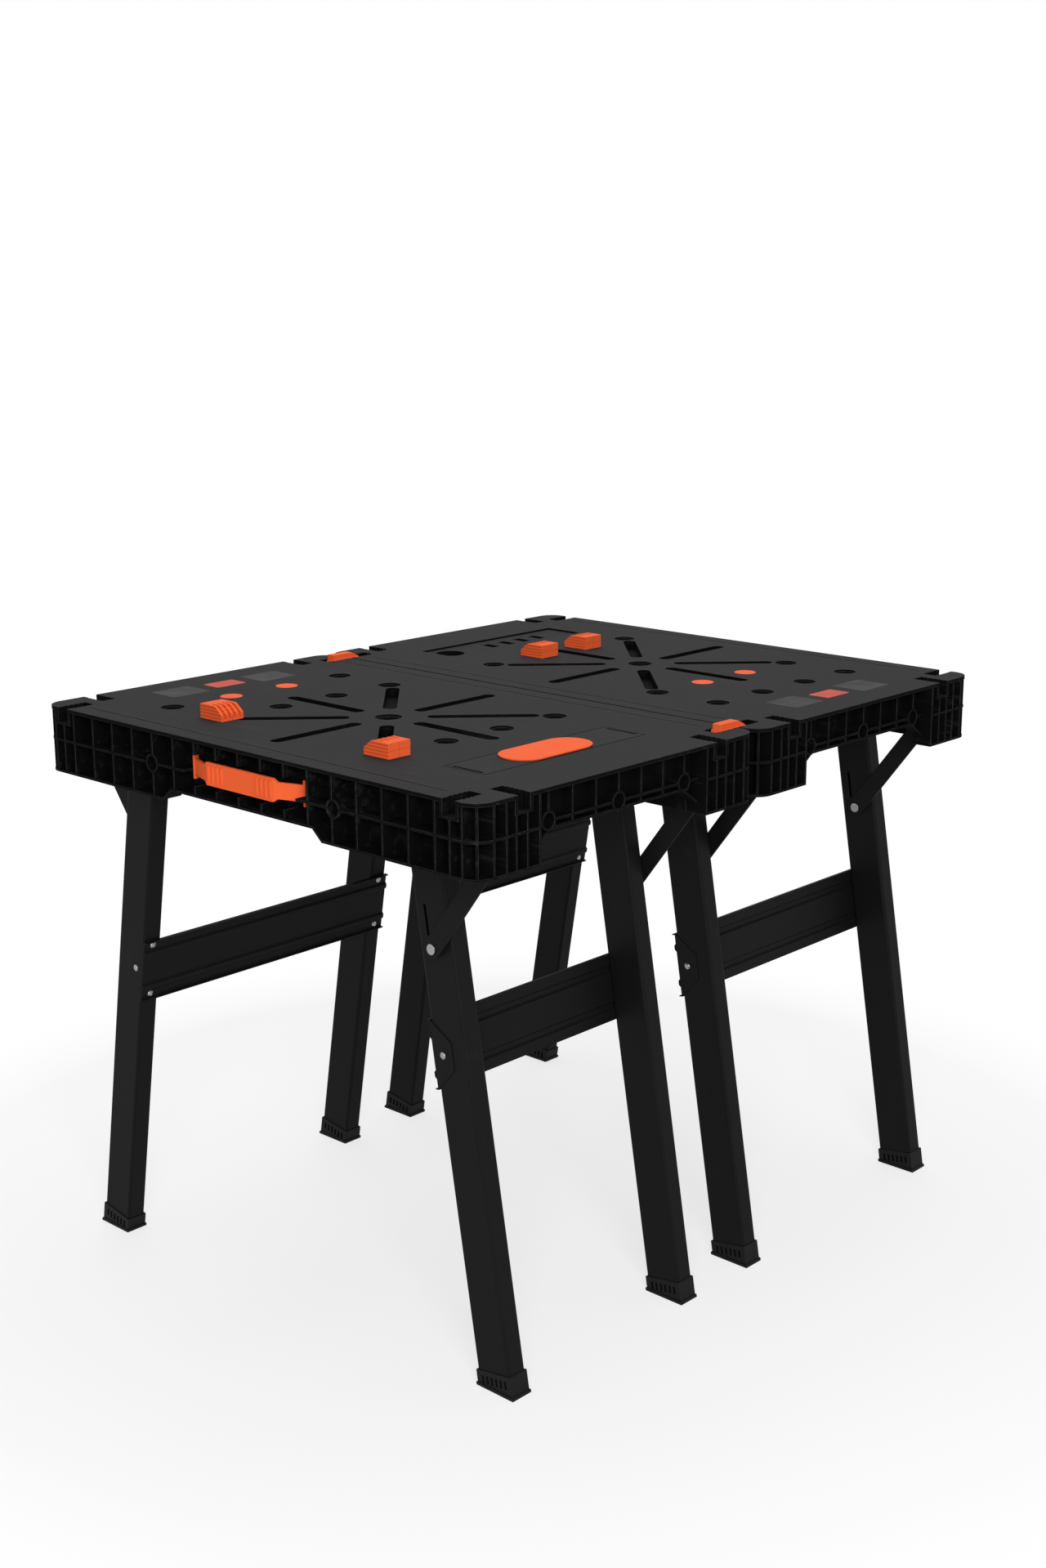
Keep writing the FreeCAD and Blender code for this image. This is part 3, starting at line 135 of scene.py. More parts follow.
def put(tree, kind, inputs=None, **settings):
    """A new node with its settings; an input is a plain value or the output socket that feeds it."""
    item = tree.nodes.new(kind)
    for name, value in settings.items():
        setattr(item, name, value)
    for name, value in (inputs or {}).items():
        if isinstance(value, bpy.types.NodeSocket):
            tree.links.new(value, item.inputs[name])
        else:
            item.inputs[name].default_value = value
    return item


def math_node(tree, operation, first, second=0.0):
    """The result of one sum on two values."""
    return put(tree, "ShaderNodeMath", {0: first, 1: second}, operation=operation).outputs[0]


def product(tree, first, *others):
    """Two or more values multiplied."""
    for other in others:
        first = math_node(tree, "MULTIPLY", first, other)
    return first


def distance_from(tree, value, middle):
    """How far a value lies from a middle, without its sign."""
    return math_node(tree, "ABSOLUTE", math_node(tree, "SUBTRACT", value, middle))


def uneven(tree, factor, middle, spread):
    """A value spread evenly round its middle by a factor from 0 to 1."""
    return math_node(tree, "ADD", product(tree, factor, spread), middle - spread / 2)


def ramp(tree, factor, low, high):
    """0 up to low, 1 from high on, smooth between."""
    item = put(tree, "ShaderNodeMapRange", {"Value": factor, "From Min": low, "From Max": high},
               interpolation_type="SMOOTHSTEP")
    return item.outputs[0]


def blend_colours(tree, factor, first, second):
    """first where factor is 0, second where it is 1."""
    item = put(tree, "ShaderNodeMix", {"Factor": factor}, data_type="RGBA")
    for socket, value in zip((item.inputs[6], item.inputs[7]), (first, second)):
        if isinstance(value, bpy.types.NodeSocket):
            tree.links.new(value, socket)
        else:
            socket.default_value = (*value, 1.0)
    return item.outputs[2]


def shaded(colour, share):
    """A colour made darker or lighter by a share."""
    return tuple(share * v for v in colour)


def axes_of(tree, vector):
    """The three parts of a vector, by axis name."""
    return put(tree, "ShaderNodeSeparateXYZ", {0: vector}).outputs


def face_normal(tree):
    """The flat normal of the face."""
    return put(tree, "ShaderNodeNewGeometry").outputs["True Normal"]


def stretched(tree, vector, scale):
    """Object coordinates scaled by axis."""
    return put(tree, "ShaderNodeMapping", {"Vector": vector, "Scale": scale}).outputs[0]


def noise(tree, vector, scale, detail=3.0, roughness=0.55):
    """Cloudy noise from 0 to 1; scale is its number of blobs to the metre."""
    inputs = {"Vector": vector, "Scale": scale, "Detail": detail, "Roughness": roughness}
    return put(tree, "ShaderNodeTexNoise", inputs).outputs["Fac"]


# Shared effects

VECTOR_SOCKET = ("Vector", "NodeSocketVector", None)
MASK_SOCKET = ("Mask", "NodeSocketFloat", None)


def new_group(name, inputs, outputs):
    """An empty shader group; inputs and outputs are (name, socket type, default)."""
    group = bpy.data.node_groups.new(name, "ShaderNodeTree")
    for side, sockets in (("INPUT", inputs), ("OUTPUT", outputs)):
        for label, kind, default in sockets:
            socket = group.interface.new_socket(label, in_out=side, socket_type=kind)
            if default is not None:
                socket.default_value = default
    return group, group.nodes.new("NodeGroupInput").outputs, group.nodes.new("NodeGroupOutput").inputs


def make_mould_grain():
    """Fine pebble of a spark-eroded mould: cell distance plus fine noise, as a height."""
    group, given, result = new_group(
        "mould grain", [VECTOR_SOCKET, ("Size", "NodeSocketFloat", 700.0)],
        [("Height", "NodeSocketFloat", None), ("Tone", "NodeSocketFloat", None)])
    cells = put(group, "ShaderNodeTexVoronoi", {"Vector": given["Vector"], "Scale": given["Size"]})
    fine = noise(group, given["Vector"], product(group, given["Size"], 1.7), 2.0)
    broad = noise(group, given["Vector"], 9.0, 4.0, 0.6)
    height = math_node(group, "ADD", product(group, cells.outputs["Distance"], 0.6), fine)
    group.links.new(height, result["Height"])
    group.links.new(broad, result["Tone"])
    return group


def make_drawn_streaks():
    """Faint straight streaks along X, as flow and handling leave on a flat moulding: stretched noise."""
    group, given, result = new_group(
        "drawn streaks", [VECTOR_SOCKET, ("Pitch", "NodeSocketFloat", 90.0)], [MASK_SOCKET])
    along = stretched(group, given["Vector"], (0.03, 1.0, 1.0))
    lines = noise(group, along, given["Pitch"], 5.0, 0.7)
    patches = noise(group, given["Vector"], 5.0, 3.0)
    mask = product(group, ramp(group, lines, 0.5, 0.75), ramp(group, patches, 0.4, 0.7))
    group.links.new(mask, result["Mask"])
    return group


def make_worn_lit_edges():
    """Where a rounded normal leaves the face's own normal: a mask of edges, broken up by noise, painted
    paler as wear and as a painted highlight. Inner corners are shaded at a short range, which takes them
    out of the mask."""
    group, given, result = new_group(
        "worn edges with painted highlight", [VECTOR_SOCKET, ("Width", "NodeSocketFloat", EDGE_WIDTH)],
        [MASK_SOCKET, ("Rounded", "NodeSocketVector", None)])
    rounded = put(group, "ShaderNodeBevel", {"Radius": given["Width"]}, samples=4).outputs[0]
    both = {0: rounded, 1: face_normal(group)}
    dot = put(group, "ShaderNodeVectorMath", both, operation="DOT_PRODUCT").outputs["Value"]
    edge_wear_and_highlight = ramp(group, math_node(group, "SUBTRACT", 1.0, dot), 0.02, 0.22)
    broken = ramp(group, noise(group, given["Vector"], 60.0, 4.0, 0.7), 0.42, 0.62)
    broken = uneven(group, broken, 0.75, 0.5)
    reach = {"Distance": CORNER_REACH}
    open_air = put(group, "ShaderNodeAmbientOcclusion", reach, samples=4, only_local=True)
    outer = ramp(group, open_air.outputs["AO"], 0.72, 0.92)
    group.links.new(product(group, edge_wear_and_highlight, outer, broken), result["Mask"])
    group.links.new(rounded, result["Rounded"])
    return group


def make_pale_scuffs():
    """Small pale rubs and dust: two sizes of noise with only their peaks kept."""
    group, given, result = new_group(
        "pale scuffs", [VECTOR_SOCKET, ("Amount", "NodeSocketFloat", 0.5)], [MASK_SOCKET])
    specks = ramp(group, noise(group, given["Vector"], 240.0, 3.0, 0.7), 0.64, 0.76)
    across = stretched(group, given["Vector"], (1.0, 0.35, 0.6))
    rubs = ramp(group, noise(group, across, 30.0, 5.0, 0.75), 0.6, 0.8)
    mask = product(group, math_node(group, "MAXIMUM", specks, rubs), given["Amount"])
    group.links.new(mask, result["Mask"])
    return group


def make_scale_ticks():
    """Plain ticks beside the long edges of both decks: a comb of lines every centimetre along X, longer at
    every fifth, kept to a band at a fixed distance from each bench's middle line and to the deck's
    height."""
    group, given, result = new_group("scale ticks", [VECTOR_SOCKET], [MASK_SOCKET])
    axes = axes_of(group, given["Vector"])
    from_middle = distance_from(group, math_node(group, "ABSOLUTE", axes["Y"]), BENCH_SHIFT)
    combs = []
    for pitch, length in ((TICK_PITCH, TICK_LENGTH), (5.0 * TICK_PITCH, 2.0 * TICK_LENGTH)):
        phase = math_node(group, "PINGPONG", axes["X"], pitch / 2)
        line = math_node(group, "LESS_THAN", phase, TICK_WIDTH / 2)
        low = math_node(group, "GREATER_THAN", from_middle, TICK_EDGE - length)
        high = math_node(group, "LESS_THAN", from_middle, TICK_EDGE)
        combs.append(product(group, line, low, high))
    ticks = math_node(group, "MAXIMUM", *combs)
    reach = math_node(group, "LESS_THAN", math_node(group, "ABSOLUTE", axes["X"]), TICK_REACH)
    on_deck = math_node(group, "GREATER_THAN", axes["Z"], DECK_Z - TICK_MARGIN)
    group.links.new(product(group, ticks, reach, on_deck), result["Mask"])
    return group


def make_lid_seam():
    """The narrow strip inside the lid's outline where the gap's shade is painted: where the distance to the
    outline is under a width.
    """
    group, given, result = new_group("painted shade of the lid seam", [VECTOR_SOCKET], [MASK_SOCKET])
    axes = axes_of(group, given["Vector"])
    outside = []
    for axis, low, high in (("X", LID_LOW.x, LID_HIGH.x), ("Y", LID_LOW.y, LID_HIGH.y)):
        from_middle = distance_from(group, axes[axis], (low + high) / 2)
        outside.append(math_node(group, "SUBTRACT", from_middle, (high - low) / 2 - SEAM_WIDTH))
    strip = math_node(group, "GREATER_THAN", math_node(group, "MAXIMUM", *outside), 0.0)
    group.links.new(strip, result["Mask"])
    return group


def make_dog_grooves():
    """Shade lines of the dogs' shallow grooves: level lines on the long sides, a cross on the ends."""
    group, given, result = new_group("painted shade of dog grooves", [VECTOR_SOCKET], [MASK_SOCKET])
    axes = axes_of(group, given["Vector"])
    facing = axes_of(group, face_normal(group))
    height = math_node(group, "SUBTRACT", axes["Z"], DECK_Z)
    phase = math_node(group, "PINGPONG", height, GROOVE_PITCH / 2)
    level = math_node(group, "LESS_THAN", phase, GROOVE_WIDTH)
    on_side = math_node(group, "GREATER_THAN", math_node(group, "ABSOLUTE", facing["Y"]), 0.9)
    from_middle = distance_from(group, height, DOG_HEIGHT / 2)
    for middle in sorted({middle_of(node)[1] for node in DOG_DIRECTIONS}):
        distance = distance_from(group, axes["Y"], middle)
        from_middle = math_node(group, "MINIMUM", from_middle, distance)
    cross = math_node(group, "LESS_THAN", from_middle, GROOVE_WIDTH / 2)
    on_end = math_node(group, "GREATER_THAN", math_node(group, "ABSOLUTE", facing["X"]), 0.97)
    sides, ends = product(group, level, on_side), product(group, cross, on_end)
    group.links.new(math_node(group, "MAXIMUM", sides, ends), result["Mask"])
    return group


GROUPS = {
    "grain": make_mould_grain(),
    "streaks": make_drawn_streaks(),
    "edges": make_worn_lit_edges(),
    "scuffs": make_pale_scuffs(),
    "ticks": make_scale_ticks(),
    "seam": make_lid_seam(),
    "grooves": make_dog_grooves(),
}


def place_group(tree, name, inputs):
    """A shared effect placed in a material, with that material's own values."""
    return put(tree, "ShaderNodeGroup", inputs, node_tree=GROUPS[name]).outputs


# Materials

def new_material(name, specular=0.5, metallic=0.0):
    """A material with a Principled shader, and its Object coordinates."""
    material = bpy.data.materials.new(name)
    material.use_nodes = True
    tree = material.node_tree
    tree.nodes.clear()
    inputs = {"Specular IOR Level": specular, "Metallic": metallic}
    shader = put(tree, "ShaderNodeBsdfPrincipled", inputs)
    put(tree, "ShaderNodeOutputMaterial", {0: shader.outputs[0]})
    return material, tree, shader.inputs, put(tree, "ShaderNodeTexCoord").outputs["Object"]


def set_bump(tree, shader, height, strength, depth, **normal):
    """Fine relief of a surface, over a rounded normal where one is given."""
    inputs = {"Height": height, "Strength": strength, "Distance": depth, **normal}
    tree.links.new(put(tree, "ShaderNodeBump", inputs).outputs[0], shader["Normal"])


def lay_painted_sheen(tree, place, patches, tone, sheen_colour):
    """A paler colour painted on faces that look up near the deck's height, a painted sheen of light on the
    tops; the sunk rims of holes are left without it.
    """
    upward = ramp(tree, axes_of(tree, face_normal(tree))["Z"], 0.7, 0.97)
    height = axes_of(tree, place)["Z"]
    near_deck = ramp(tree, height, DECK_Z - SHEEN_DEPTH, DECK_Z - SHEEN_START)
    from_rims = distance_from(tree, height, DECK_Z - RIM_DEPTH)
    off_rims = math_node(tree, "GREATER_THAN", from_rims, RIM_DEPTH / 4)
    # The colour of the painted sheen, patchy by the grain's tone
    dust = blend_colours(tree, patches, shaded(sheen_colour, PATCH_SHARE), sheen_colour)
    return blend_colours(tree, product(tree, upward, near_deck, off_rims), tone, dust)


def moulded_plastic(name, colour, pale, grain_size, grain_depth, roughness, streaks, scuffs, edge_wear_and_highlight, specular,
                    sheen_colour=None, ticks=0.0, seam=0.0, grooves=0.0):
    """Textured moulded plastic: grain, faint streaks, scuffs and paler edges, partly wear and partly a
    painted highlight, over one colour, with a painted sheen on the tops, ticks, and painted shade in the
    lid's seam and in the dogs' grooves where they are asked for."""
    material, tree, shader, place = new_material(name, specular)
    grain = place_group(tree, "grain", {"Vector": place, "Size": grain_size})
    lines = place_group(tree, "streaks", {"Vector": place})
    rubs = place_group(tree, "scuffs", {"Vector": place, "Amount": scuffs})
    worn = place_group(tree, "edges", {"Vector": place})
    tone = blend_colours(tree, grain["Tone"], shaded(colour, PATCH_SHARE), colour)
    if sheen_colour:
        # Painted sheen: faces that look up near the deck are painted paler, as light glancing off them
        tone = lay_painted_sheen(tree, place, grain["Tone"], tone, sheen_colour)
    tone = blend_colours(tree, product(tree, lines["Mask"], streaks), tone, pale)
    # Paler edges: partly wear, partly a painted highlight
    marks = math_node(tree, "MAXIMUM", rubs["Mask"], product(tree, worn["Mask"], edge_wear_and_highlight))
    if ticks:
        comb = place_group(tree, "ticks", {"Vector": place})["Mask"]
        marks = math_node(tree, "MAXIMUM", marks, product(tree, comb, grain["Tone"], ticks))
    tone = blend_colours(tree, marks, tone, pale)
    # Painted shade in the gap round the lid
    if seam:
        strip = place_group(tree, "seam", {"Vector": place})["Mask"]
        tone = blend_colours(tree, product(tree, strip, seam), tone, SEAM_SHADE)
    # Painted shade in the dogs' grooves
    if grooves:
        shade = place_group(tree, "grooves", {"Vector": place})["Mask"]
        tone = blend_colours(tree, product(tree, shade, grooves), tone, ORANGE_SHADE)
    tree.links.new(tone, shader["Base Color"])
    tree.links.new(uneven(tree, grain["Tone"], roughness, 0.12), shader["Roughness"])
    set_bump(tree, shader, grain["Height"], 1.0, grain_depth, Normal=worn["Rounded"])
    return material


def coated_steel(name, colour, pale, roughness, specular):
    """Powder-coated sheet: orange-peel bump, a few rubs, paler edges that are partly wear and partly a
    painted highlight.
    """
    material, tree, shader, place = new_material(name, specular)
    peel = noise(tree, place, 420.0, 2.0)
    broad = noise(tree, place, 6.0, 4.0)
    rubs = place_group(tree, "scuffs", {"Vector": place, "Amount": 0.12})
    worn = place_group(tree, "edges", {"Vector": place, "Width": STEEL_EDGE_WIDTH})
    tone = blend_colours(tree, broad, *(shaded(colour, share) for share in STEEL_SHARES))
    # Paler edges: partly wear, partly a painted highlight
    marks = math_node(tree, "MAXIMUM", rubs["Mask"], product(tree, worn["Mask"], 0.18))
    tree.links.new(blend_colours(tree, marks, tone, pale), shader["Base Color"])
    tree.links.new(uneven(tree, broad, roughness, 0.16), shader["Roughness"])
    set_bump(tree, shader, peel, 0.6, PEEL_DEPTH, Normal=worn["Rounded"])
    return material


def bright_steel(name, dull, bright, roughness):
    """Zinc-plated steel with fine turning marks and dull patches."""
    material, tree, shader, place = new_material(name, metallic=1.0)
    marks = noise(tree, stretched(tree, place, (1.0, 0.2, 1.0)), 900.0, 3.0)
    broad = noise(tree, place, 80.0, 3.0)
    worn = place_group(tree, "edges", {"Vector": place, "Width": RIVET_EDGE_WIDTH})
    tree.links.new(blend_colours(tree, broad, dull, bright), shader["Base Color"])
    tree.links.new(uneven(tree, broad, roughness, 0.2), shader["Roughness"])
    set_bump(tree, shader, marks, 0.3, TURNING_DEPTH, Normal=worn["Rounded"])
    return material


def printed_panel(name, colour, worn_colour, roughness, specular):
    """A thin print or sticker: even colour with broad worn patches and rubbed specks."""
    material, tree, shader, place = new_material(name, specular)
    rubs = place_group(tree, "scuffs", {"Vector": place, "Amount": 0.6})
    broad = noise(tree, place, 26.0, 4.0)
    tone = blend_colours(tree, ramp(tree, broad, 0.35, 0.7), colour, worn_colour)
    tree.links.new(blend_colours(tree, rubs["Mask"], tone, worn_colour), shader["Base Color"])
    tree.links.new(uneven(tree, broad, roughness, 0.2), shader["Roughness"])
    set_bump(tree, shader, noise(tree, place, 700.0, 2.0), 0.5, PRINT_DEPTH)
    return material


# Colours, and the share of a colour that its patches take
CHARCOAL = (0.0032, 0.0031, 0.0033)
# Colours of the painted sheen on the tops of the deck and of the lid
SHEEN_CHARCOAL = (0.0290, 0.0278, 0.0290)
SHEEN_LID = (0.0305, 0.0293, 0.0305)
SEAM_SHADE = (0.0015, 0.0015, 0.0015)
# Pale colour of rubs, and of the painted highlight on edges
PALE_RUB_AND_HIGHLIGHT = (0.080, 0.078, 0.081)
FOOT_BLACK = (0.0060, 0.0060, 0.0063)
STEEL_BLACK = (0.0060, 0.0060, 0.0062)
PALE_GREY = (0.05, 0.05, 0.05)
ORANGE = (0.85, 0.122, 0.035)
PALE_ORANGE = (0.92, 0.24, 0.09)
ORANGE_SHADE = (0.36, 0.040, 0.012)
DULL_ZINC = (0.24, 0.24, 0.245)
BRIGHT_ZINC = (0.40, 0.40, 0.395)
PRINT_GREY = (0.037, 0.035, 0.037)
WORN_GREY = (0.030, 0.028, 0.029)
PRINT_ORANGE = (0.44, 0.057, 0.036)
WORN_ORANGE = (0.50, 0.092, 0.062)
PATCH_SHARE = 0.8
STEEL_SHARES = (0.75, 1.15)

CHARCOAL_FINISH = {"colour": CHARCOAL, "pale": PALE_RUB_AND_HIGHLIGHT, "grain_size": 900.0,
                   "grain_depth": DECK_GRAIN_DEPTH, "specular": 0.02}
ORANGE_FINISH = {"colour": ORANGE, "pale": PALE_ORANGE, "grain_size": 1100.0,
                 "grain_depth": ORANGE_GRAIN_DEPTH, "specular": 0.02, "roughness": 0.5,
                 "streaks": 0.06, "scuffs": 0.06, "edge_wear_and_highlight": 0.30}
MATERIALS = {
    "deck_plastic": moulded_plastic(
        "charcoal moulded top", **CHARCOAL_FINISH, roughness=0.7, streaks=0.22, scuffs=0.08, edge_wear_and_highlight=0.80,
        sheen_colour=SHEEN_CHARCOAL, ticks=0.9),
    "lid_plastic": moulded_plastic(
        "charcoal lid", **CHARCOAL_FINISH, roughness=0.68, streaks=0.2, scuffs=0.06, edge_wear_and_highlight=0.20,
        sheen_colour=SHEEN_LID, seam=1.0),
    "black_plastic": moulded_plastic(
        "black foot plastic", colour=FOOT_BLACK, pale=PALE_GREY, grain_size=800.0,
        grain_depth=FOOT_GRAIN_DEPTH, specular=0.10, roughness=0.55, streaks=0.05, scuffs=0.2, edge_wear_and_highlight=0.35),
    "orange_plastic": moulded_plastic("orange moulding", **ORANGE_FINISH),
    "dog_plastic": moulded_plastic("orange moulding with painted groove shade", **ORANGE_FINISH, grooves=0.6),
    "black_steel": coated_steel("black coated steel", STEEL_BLACK, PALE_GREY, roughness=0.5, specular=0.06),
    "bright_steel": bright_steel("zinc-plated rivets", DULL_ZINC, BRIGHT_ZINC, roughness=0.32),
}
PANEL_FINISHES = {
    "grey": printed_panel("grey printed panel", PRINT_GREY, WORN_GREY, roughness=0.6, specular=0.05),
    "orange": printed_panel("orange-red sticker", PRINT_ORANGE, WORN_ORANGE, roughness=0.5, specular=0.04),
}


def paint_nodes():
    """Each CAD piece takes the finish of its slot."""
    for entry in frame["record"]["subparts"]:
        item = NODES[entry["node"]]
        item.data.materials.clear()
        item.data.materials.append(MATERIALS[entry["material_slot"]])


paint_nodes()


# New pieces: meshes from whole arrays of points

def add_mesh(name, points, faces, material, body):
    """A mesh at the origin that rides on a body and wears one material."""
    mesh = bpy.data.meshes.new(name)
    mesh.from_pydata(points.reshape(-1, 3).tolist(), [], faces)
    mesh.materials.append(material)
    piece = bpy.data.objects.new(name, mesh)
    bpy.context.scene.collection.objects.link(piece)
    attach(piece, body)
    return piece


def add_piece(name, grid, material, body):
    """A closed mesh over a grid of points, rows by columns by three: each row is a ring, neighbouring rings
    are joined by four-sided faces, and one flat face fills each end."""
    rows, columns = grid.shape[:2]
    column = np.arange(columns)
    following = (column + 1) % columns
    here = np.arange(rows - 1)[:, None] * columns
    there = here + columns
    quads = np.stack((here + column, there + column, there + following, here + following), axis=-1)
    ends = [column.tolist(), ((rows - 1) * columns + column[::-1]).tolist()]
    return add_mesh(name, grid, quads.reshape(-1, 4).tolist() + ends, material, body)


def ring_angles(steps):
    """The angles of a ring's points: evenly round the circle, from half a step on."""
    return np.linspace(0.0, 2.0 * math.pi, steps, endpoint=False)[None, :] + math.pi / steps


# Troughs under the star of slots, which close them from below and stand in for the shade seen through them
SLOT_COUNT = 8
SLOT_MIDDLE = 130.0 * MM
SLOT_HALF = 67.0 * MM
TROUGH_STEPS = 48
TROUGH_INNER = 10.2 * MM
TROUGH_OUTER = 12.4 * MM
TROUGH_RIM_DROP = 4.6 * MM
TROUGH_FLOOR_DROP = 14.0 * MM
TROUGH_BASE_DROP = 15.6 * MM


def trough_points(middle, turn):
    """A trough under a slot with round ends: the slot's outline is a circle cut in two at cos t = 0, with
    its halves moved apart along the slot. The rings run from the floor up the inside, over the rim and down
    the outside."""
    t = ring_angles(TROUGH_STEPS)
    radius = np.array((TROUGH_INNER, TROUGH_INNER, TROUGH_OUTER, TROUGH_OUTER))[:, None]
    drop = np.array((TROUGH_FLOOR_DROP, TROUGH_RIM_DROP, TROUGH_RIM_DROP, TROUGH_BASE_DROP))[:, None]
    height = DECK_Z - drop + 0.0 * t
    along = SLOT_MIDDLE + np.sign(np.cos(t)) * SLOT_HALF + radius * np.cos(t)
    across = radius * np.sin(t)
    x = middle[0] + math.cos(turn) * along - math.sin(turn) * across
    y = middle[1] + math.sin(turn) * along + math.cos(turn) * across
    return np.stack((x, y, height), axis=-1)


def add_shade_troughs():
    """Eight slot troughs under each deck, standing in for the shade under the slots."""
    finish = MATERIALS["deck_plastic"]
    for bench, side in BENCH_SIDES.items():
        for index in range(SLOT_COUNT):
            grid = trough_points((0.0, side * BENCH_SHIFT), index * 2.0 * math.pi / SLOT_COUNT)
            add_piece(f"{bench}_slot_shade_trough_{index + 1}", grid, finish, "tops")


add_shade_troughs()


# Bare printed panels on the decks: name, middle on the near bench, half sizes, finish and slot
PANEL_STEPS = 96
PANEL_ROUNDNESS = 16.0
PANEL_THICKNESS = 0.25 * MM
PANEL_RING_SHARES = (0.98, 0.995, 1.0, 1.0)
PANEL_HEIGHT_SHARES = (1.0, 0.9, 0.6, 0.0)
PANELS = (
    ("orange_plate", (-355.0 * MM, 0.0), (17.5 * MM, 27.0 * MM), "orange", "orange_plastic"),
    ("left_panel", (-354.0 * MM, -82.0 * MM), (28.0 * MM, 33.5 * MM), "grey", "deck_plastic"),
    ("right_panel", (-352.0 * MM, 81.0 * MM), (28.0 * MM, 33.5 * MM), "grey", "deck_plastic"),
)


def panel_points(middle, half):
    """A flat rounded tile as rings of points. The outline is the superellipse |x/a|^n + |y/b|^n = 1; each
    ring is that outline times a share, at a height that falls from the top to the deck over the last
    rings."""
    turn = np.linspace(0.0, 2.0 * math.pi, PANEL_STEPS, endpoint=False)[None, :]
    share = np.array(PANEL_RING_SHARES)[:, None]
    height_share = np.array(PANEL_HEIGHT_SHARES)[:, None]
    power = 2.0 / PANEL_ROUNDNESS
    across = np.sign(np.cos(turn)) * np.abs(np.cos(turn)) ** power
    along = np.sign(np.sin(turn)) * np.abs(np.sin(turn)) ** power
    x = middle[0] + half[0] * share * across
    y = middle[1] + half[1] * share * along
    z = DECK_Z + PANEL_THICKNESS * height_share + 0.0 * turn
    return np.stack((x, y, z), axis=-1)


def add_panels():
    """Three bare panels at the wide end of each deck; the far bench is turned half round."""
    for bench, side in BENCH_SIDES.items():
        for name, (x, y), half, finish, slot in PANELS:
            middle = (-side * x, -side * (y - BENCH_SHIFT))
            grid = panel_points(middle, half)
            add_piece(f"{bench}_{name}", grid, PANEL_FINISHES[finish], "tops")


add_panels()


# The lid's raised inlay, as rings from its top down; its middle lies along and beside the near bench's line
INLAY_STEPS = 96
INLAY_ALONG = 296.2 * MM
INLAY_BESIDE = 4.0 * MM
INLAY_MIDDLE = (INLAY_ALONG, -BENCH_SHIFT - INLAY_BESIDE)
INLAY_RADIUS = 33.3 * MM
INLAY_HALF = 73.5 * MM
INLAY_EDGE_DROPS = (1.0 * MM, 0.4 * MM, 0.0, 0.0, 1.2 * MM, 1.2 * MM)
INLAY_RISES = (2.6 * MM, 2.5 * MM, 2.1 * MM, 1.2 * MM, 0.9 * MM, 0.02 * MM)


def stadium_rings(middle, half_straight, radii, heights):
    """Rings of a shape with round ends along Y: a circle of each radius cut in two at sin t = 0, its halves
    moved apart by the straight run, at each height."""
    t = ring_angles(INLAY_STEPS)
    radius, height = np.array(radii)[:, None], np.array(heights)[:, None]
    x = middle[0] + radius * np.cos(t)
    y = middle[1] + np.sign(np.sin(t)) * half_straight + radius * np.sin(t)
    return np.stack((x, y, height + 0.0 * t), axis=-1)


def add_inlay():
    """The raised orange plate on the lid, and the charcoal filling of the lid's pocket under it."""
    low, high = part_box("lid_inlay")
    radius, half = (high.x - low.x) / 2, (high.y - low.y) / 2
    grid = stadium_rings(middle_of("lid_inlay"), half - radius, (radius, radius), (high.z, low.z))
    add_piece("lid_pocket_filling", grid, MATERIALS["lid_plastic"], "tray_lid")
    radii = [INLAY_RADIUS - drop for drop in INLAY_EDGE_DROPS]
    heights = [DECK_Z + rise for rise in INLAY_RISES]
    grid = stadium_rings(INLAY_MIDDLE, INLAY_HALF - INLAY_RADIUS, radii, heights)
    plate = add_piece("lid_inlay_plate", grid, MATERIALS["orange_plastic"], "tray_lid")
    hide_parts("lid_inlay")


add_inlay()


# Dogs, with outlines as (inward from the tip, up from the deck) in millimetres
DOG_LENGTH = 46.0 * MM
DOG_WIDTH = 38.0 * MM
FIN_COUNT = 5
FIN_SHARE = 0.1
GAP_SHARE = 0.125
FIN_OUTLINE = ((0.0, 0.05), (0.0, 2.8), (0.0, 8.4), (1.2, 10.2),
               (12.0, 18.8), (15.5, 20.5), (46.0, 20.5), (46.0, 0.05))
GAP_OUTLINE = ((0.0, 0.05), (0.0, 2.8), (3.6, 3.0), (4.4, 3.8),
               (12.0, 14.0), (31.0, 20.5), (46.0, 20.5), (46.0, 0.05))
PEG_RADII = (12.3 * MM, 12.3 * MM, 11.5 * MM)
PEG_RISES = (0.5 * MM, -12.8 * MM, -14.0 * MM)


def dog_points(middle, inward):
    """A finned dog: one closed outline in X and Z per row across it, the fin's outline and the gap's by
    turns. Inward is the direction of X from the tip into the dog; where it is positive, the outline is run
    backwards, so that the faces point outwards."""
    count = 2 * FIN_COUNT - 1
    widths = [0.0] + [FIN_SHARE, GAP_SHARE] * (FIN_COUNT - 1) + [FIN_SHARE]
    edges = middle[1] + DOG_WIDTH * (np.cumsum(widths) - 0.5)
    across = np.repeat(edges, 2)[1:-1]
    outline = np.array([FIN_OUTLINE, GAP_OUTLINE])[np.repeat(np.arange(count) % 2, 2)] * MM
    if inward > 0.0:
        outline = outline[:, ::-1]
    x = middle[0] + inward * (outline[:, :, 0] - DOG_LENGTH / 2)
    z = DECK_Z + outline[:, :, 1]
    return np.stack((x, across[:, None] + 0.0 * x, z), axis=-1)


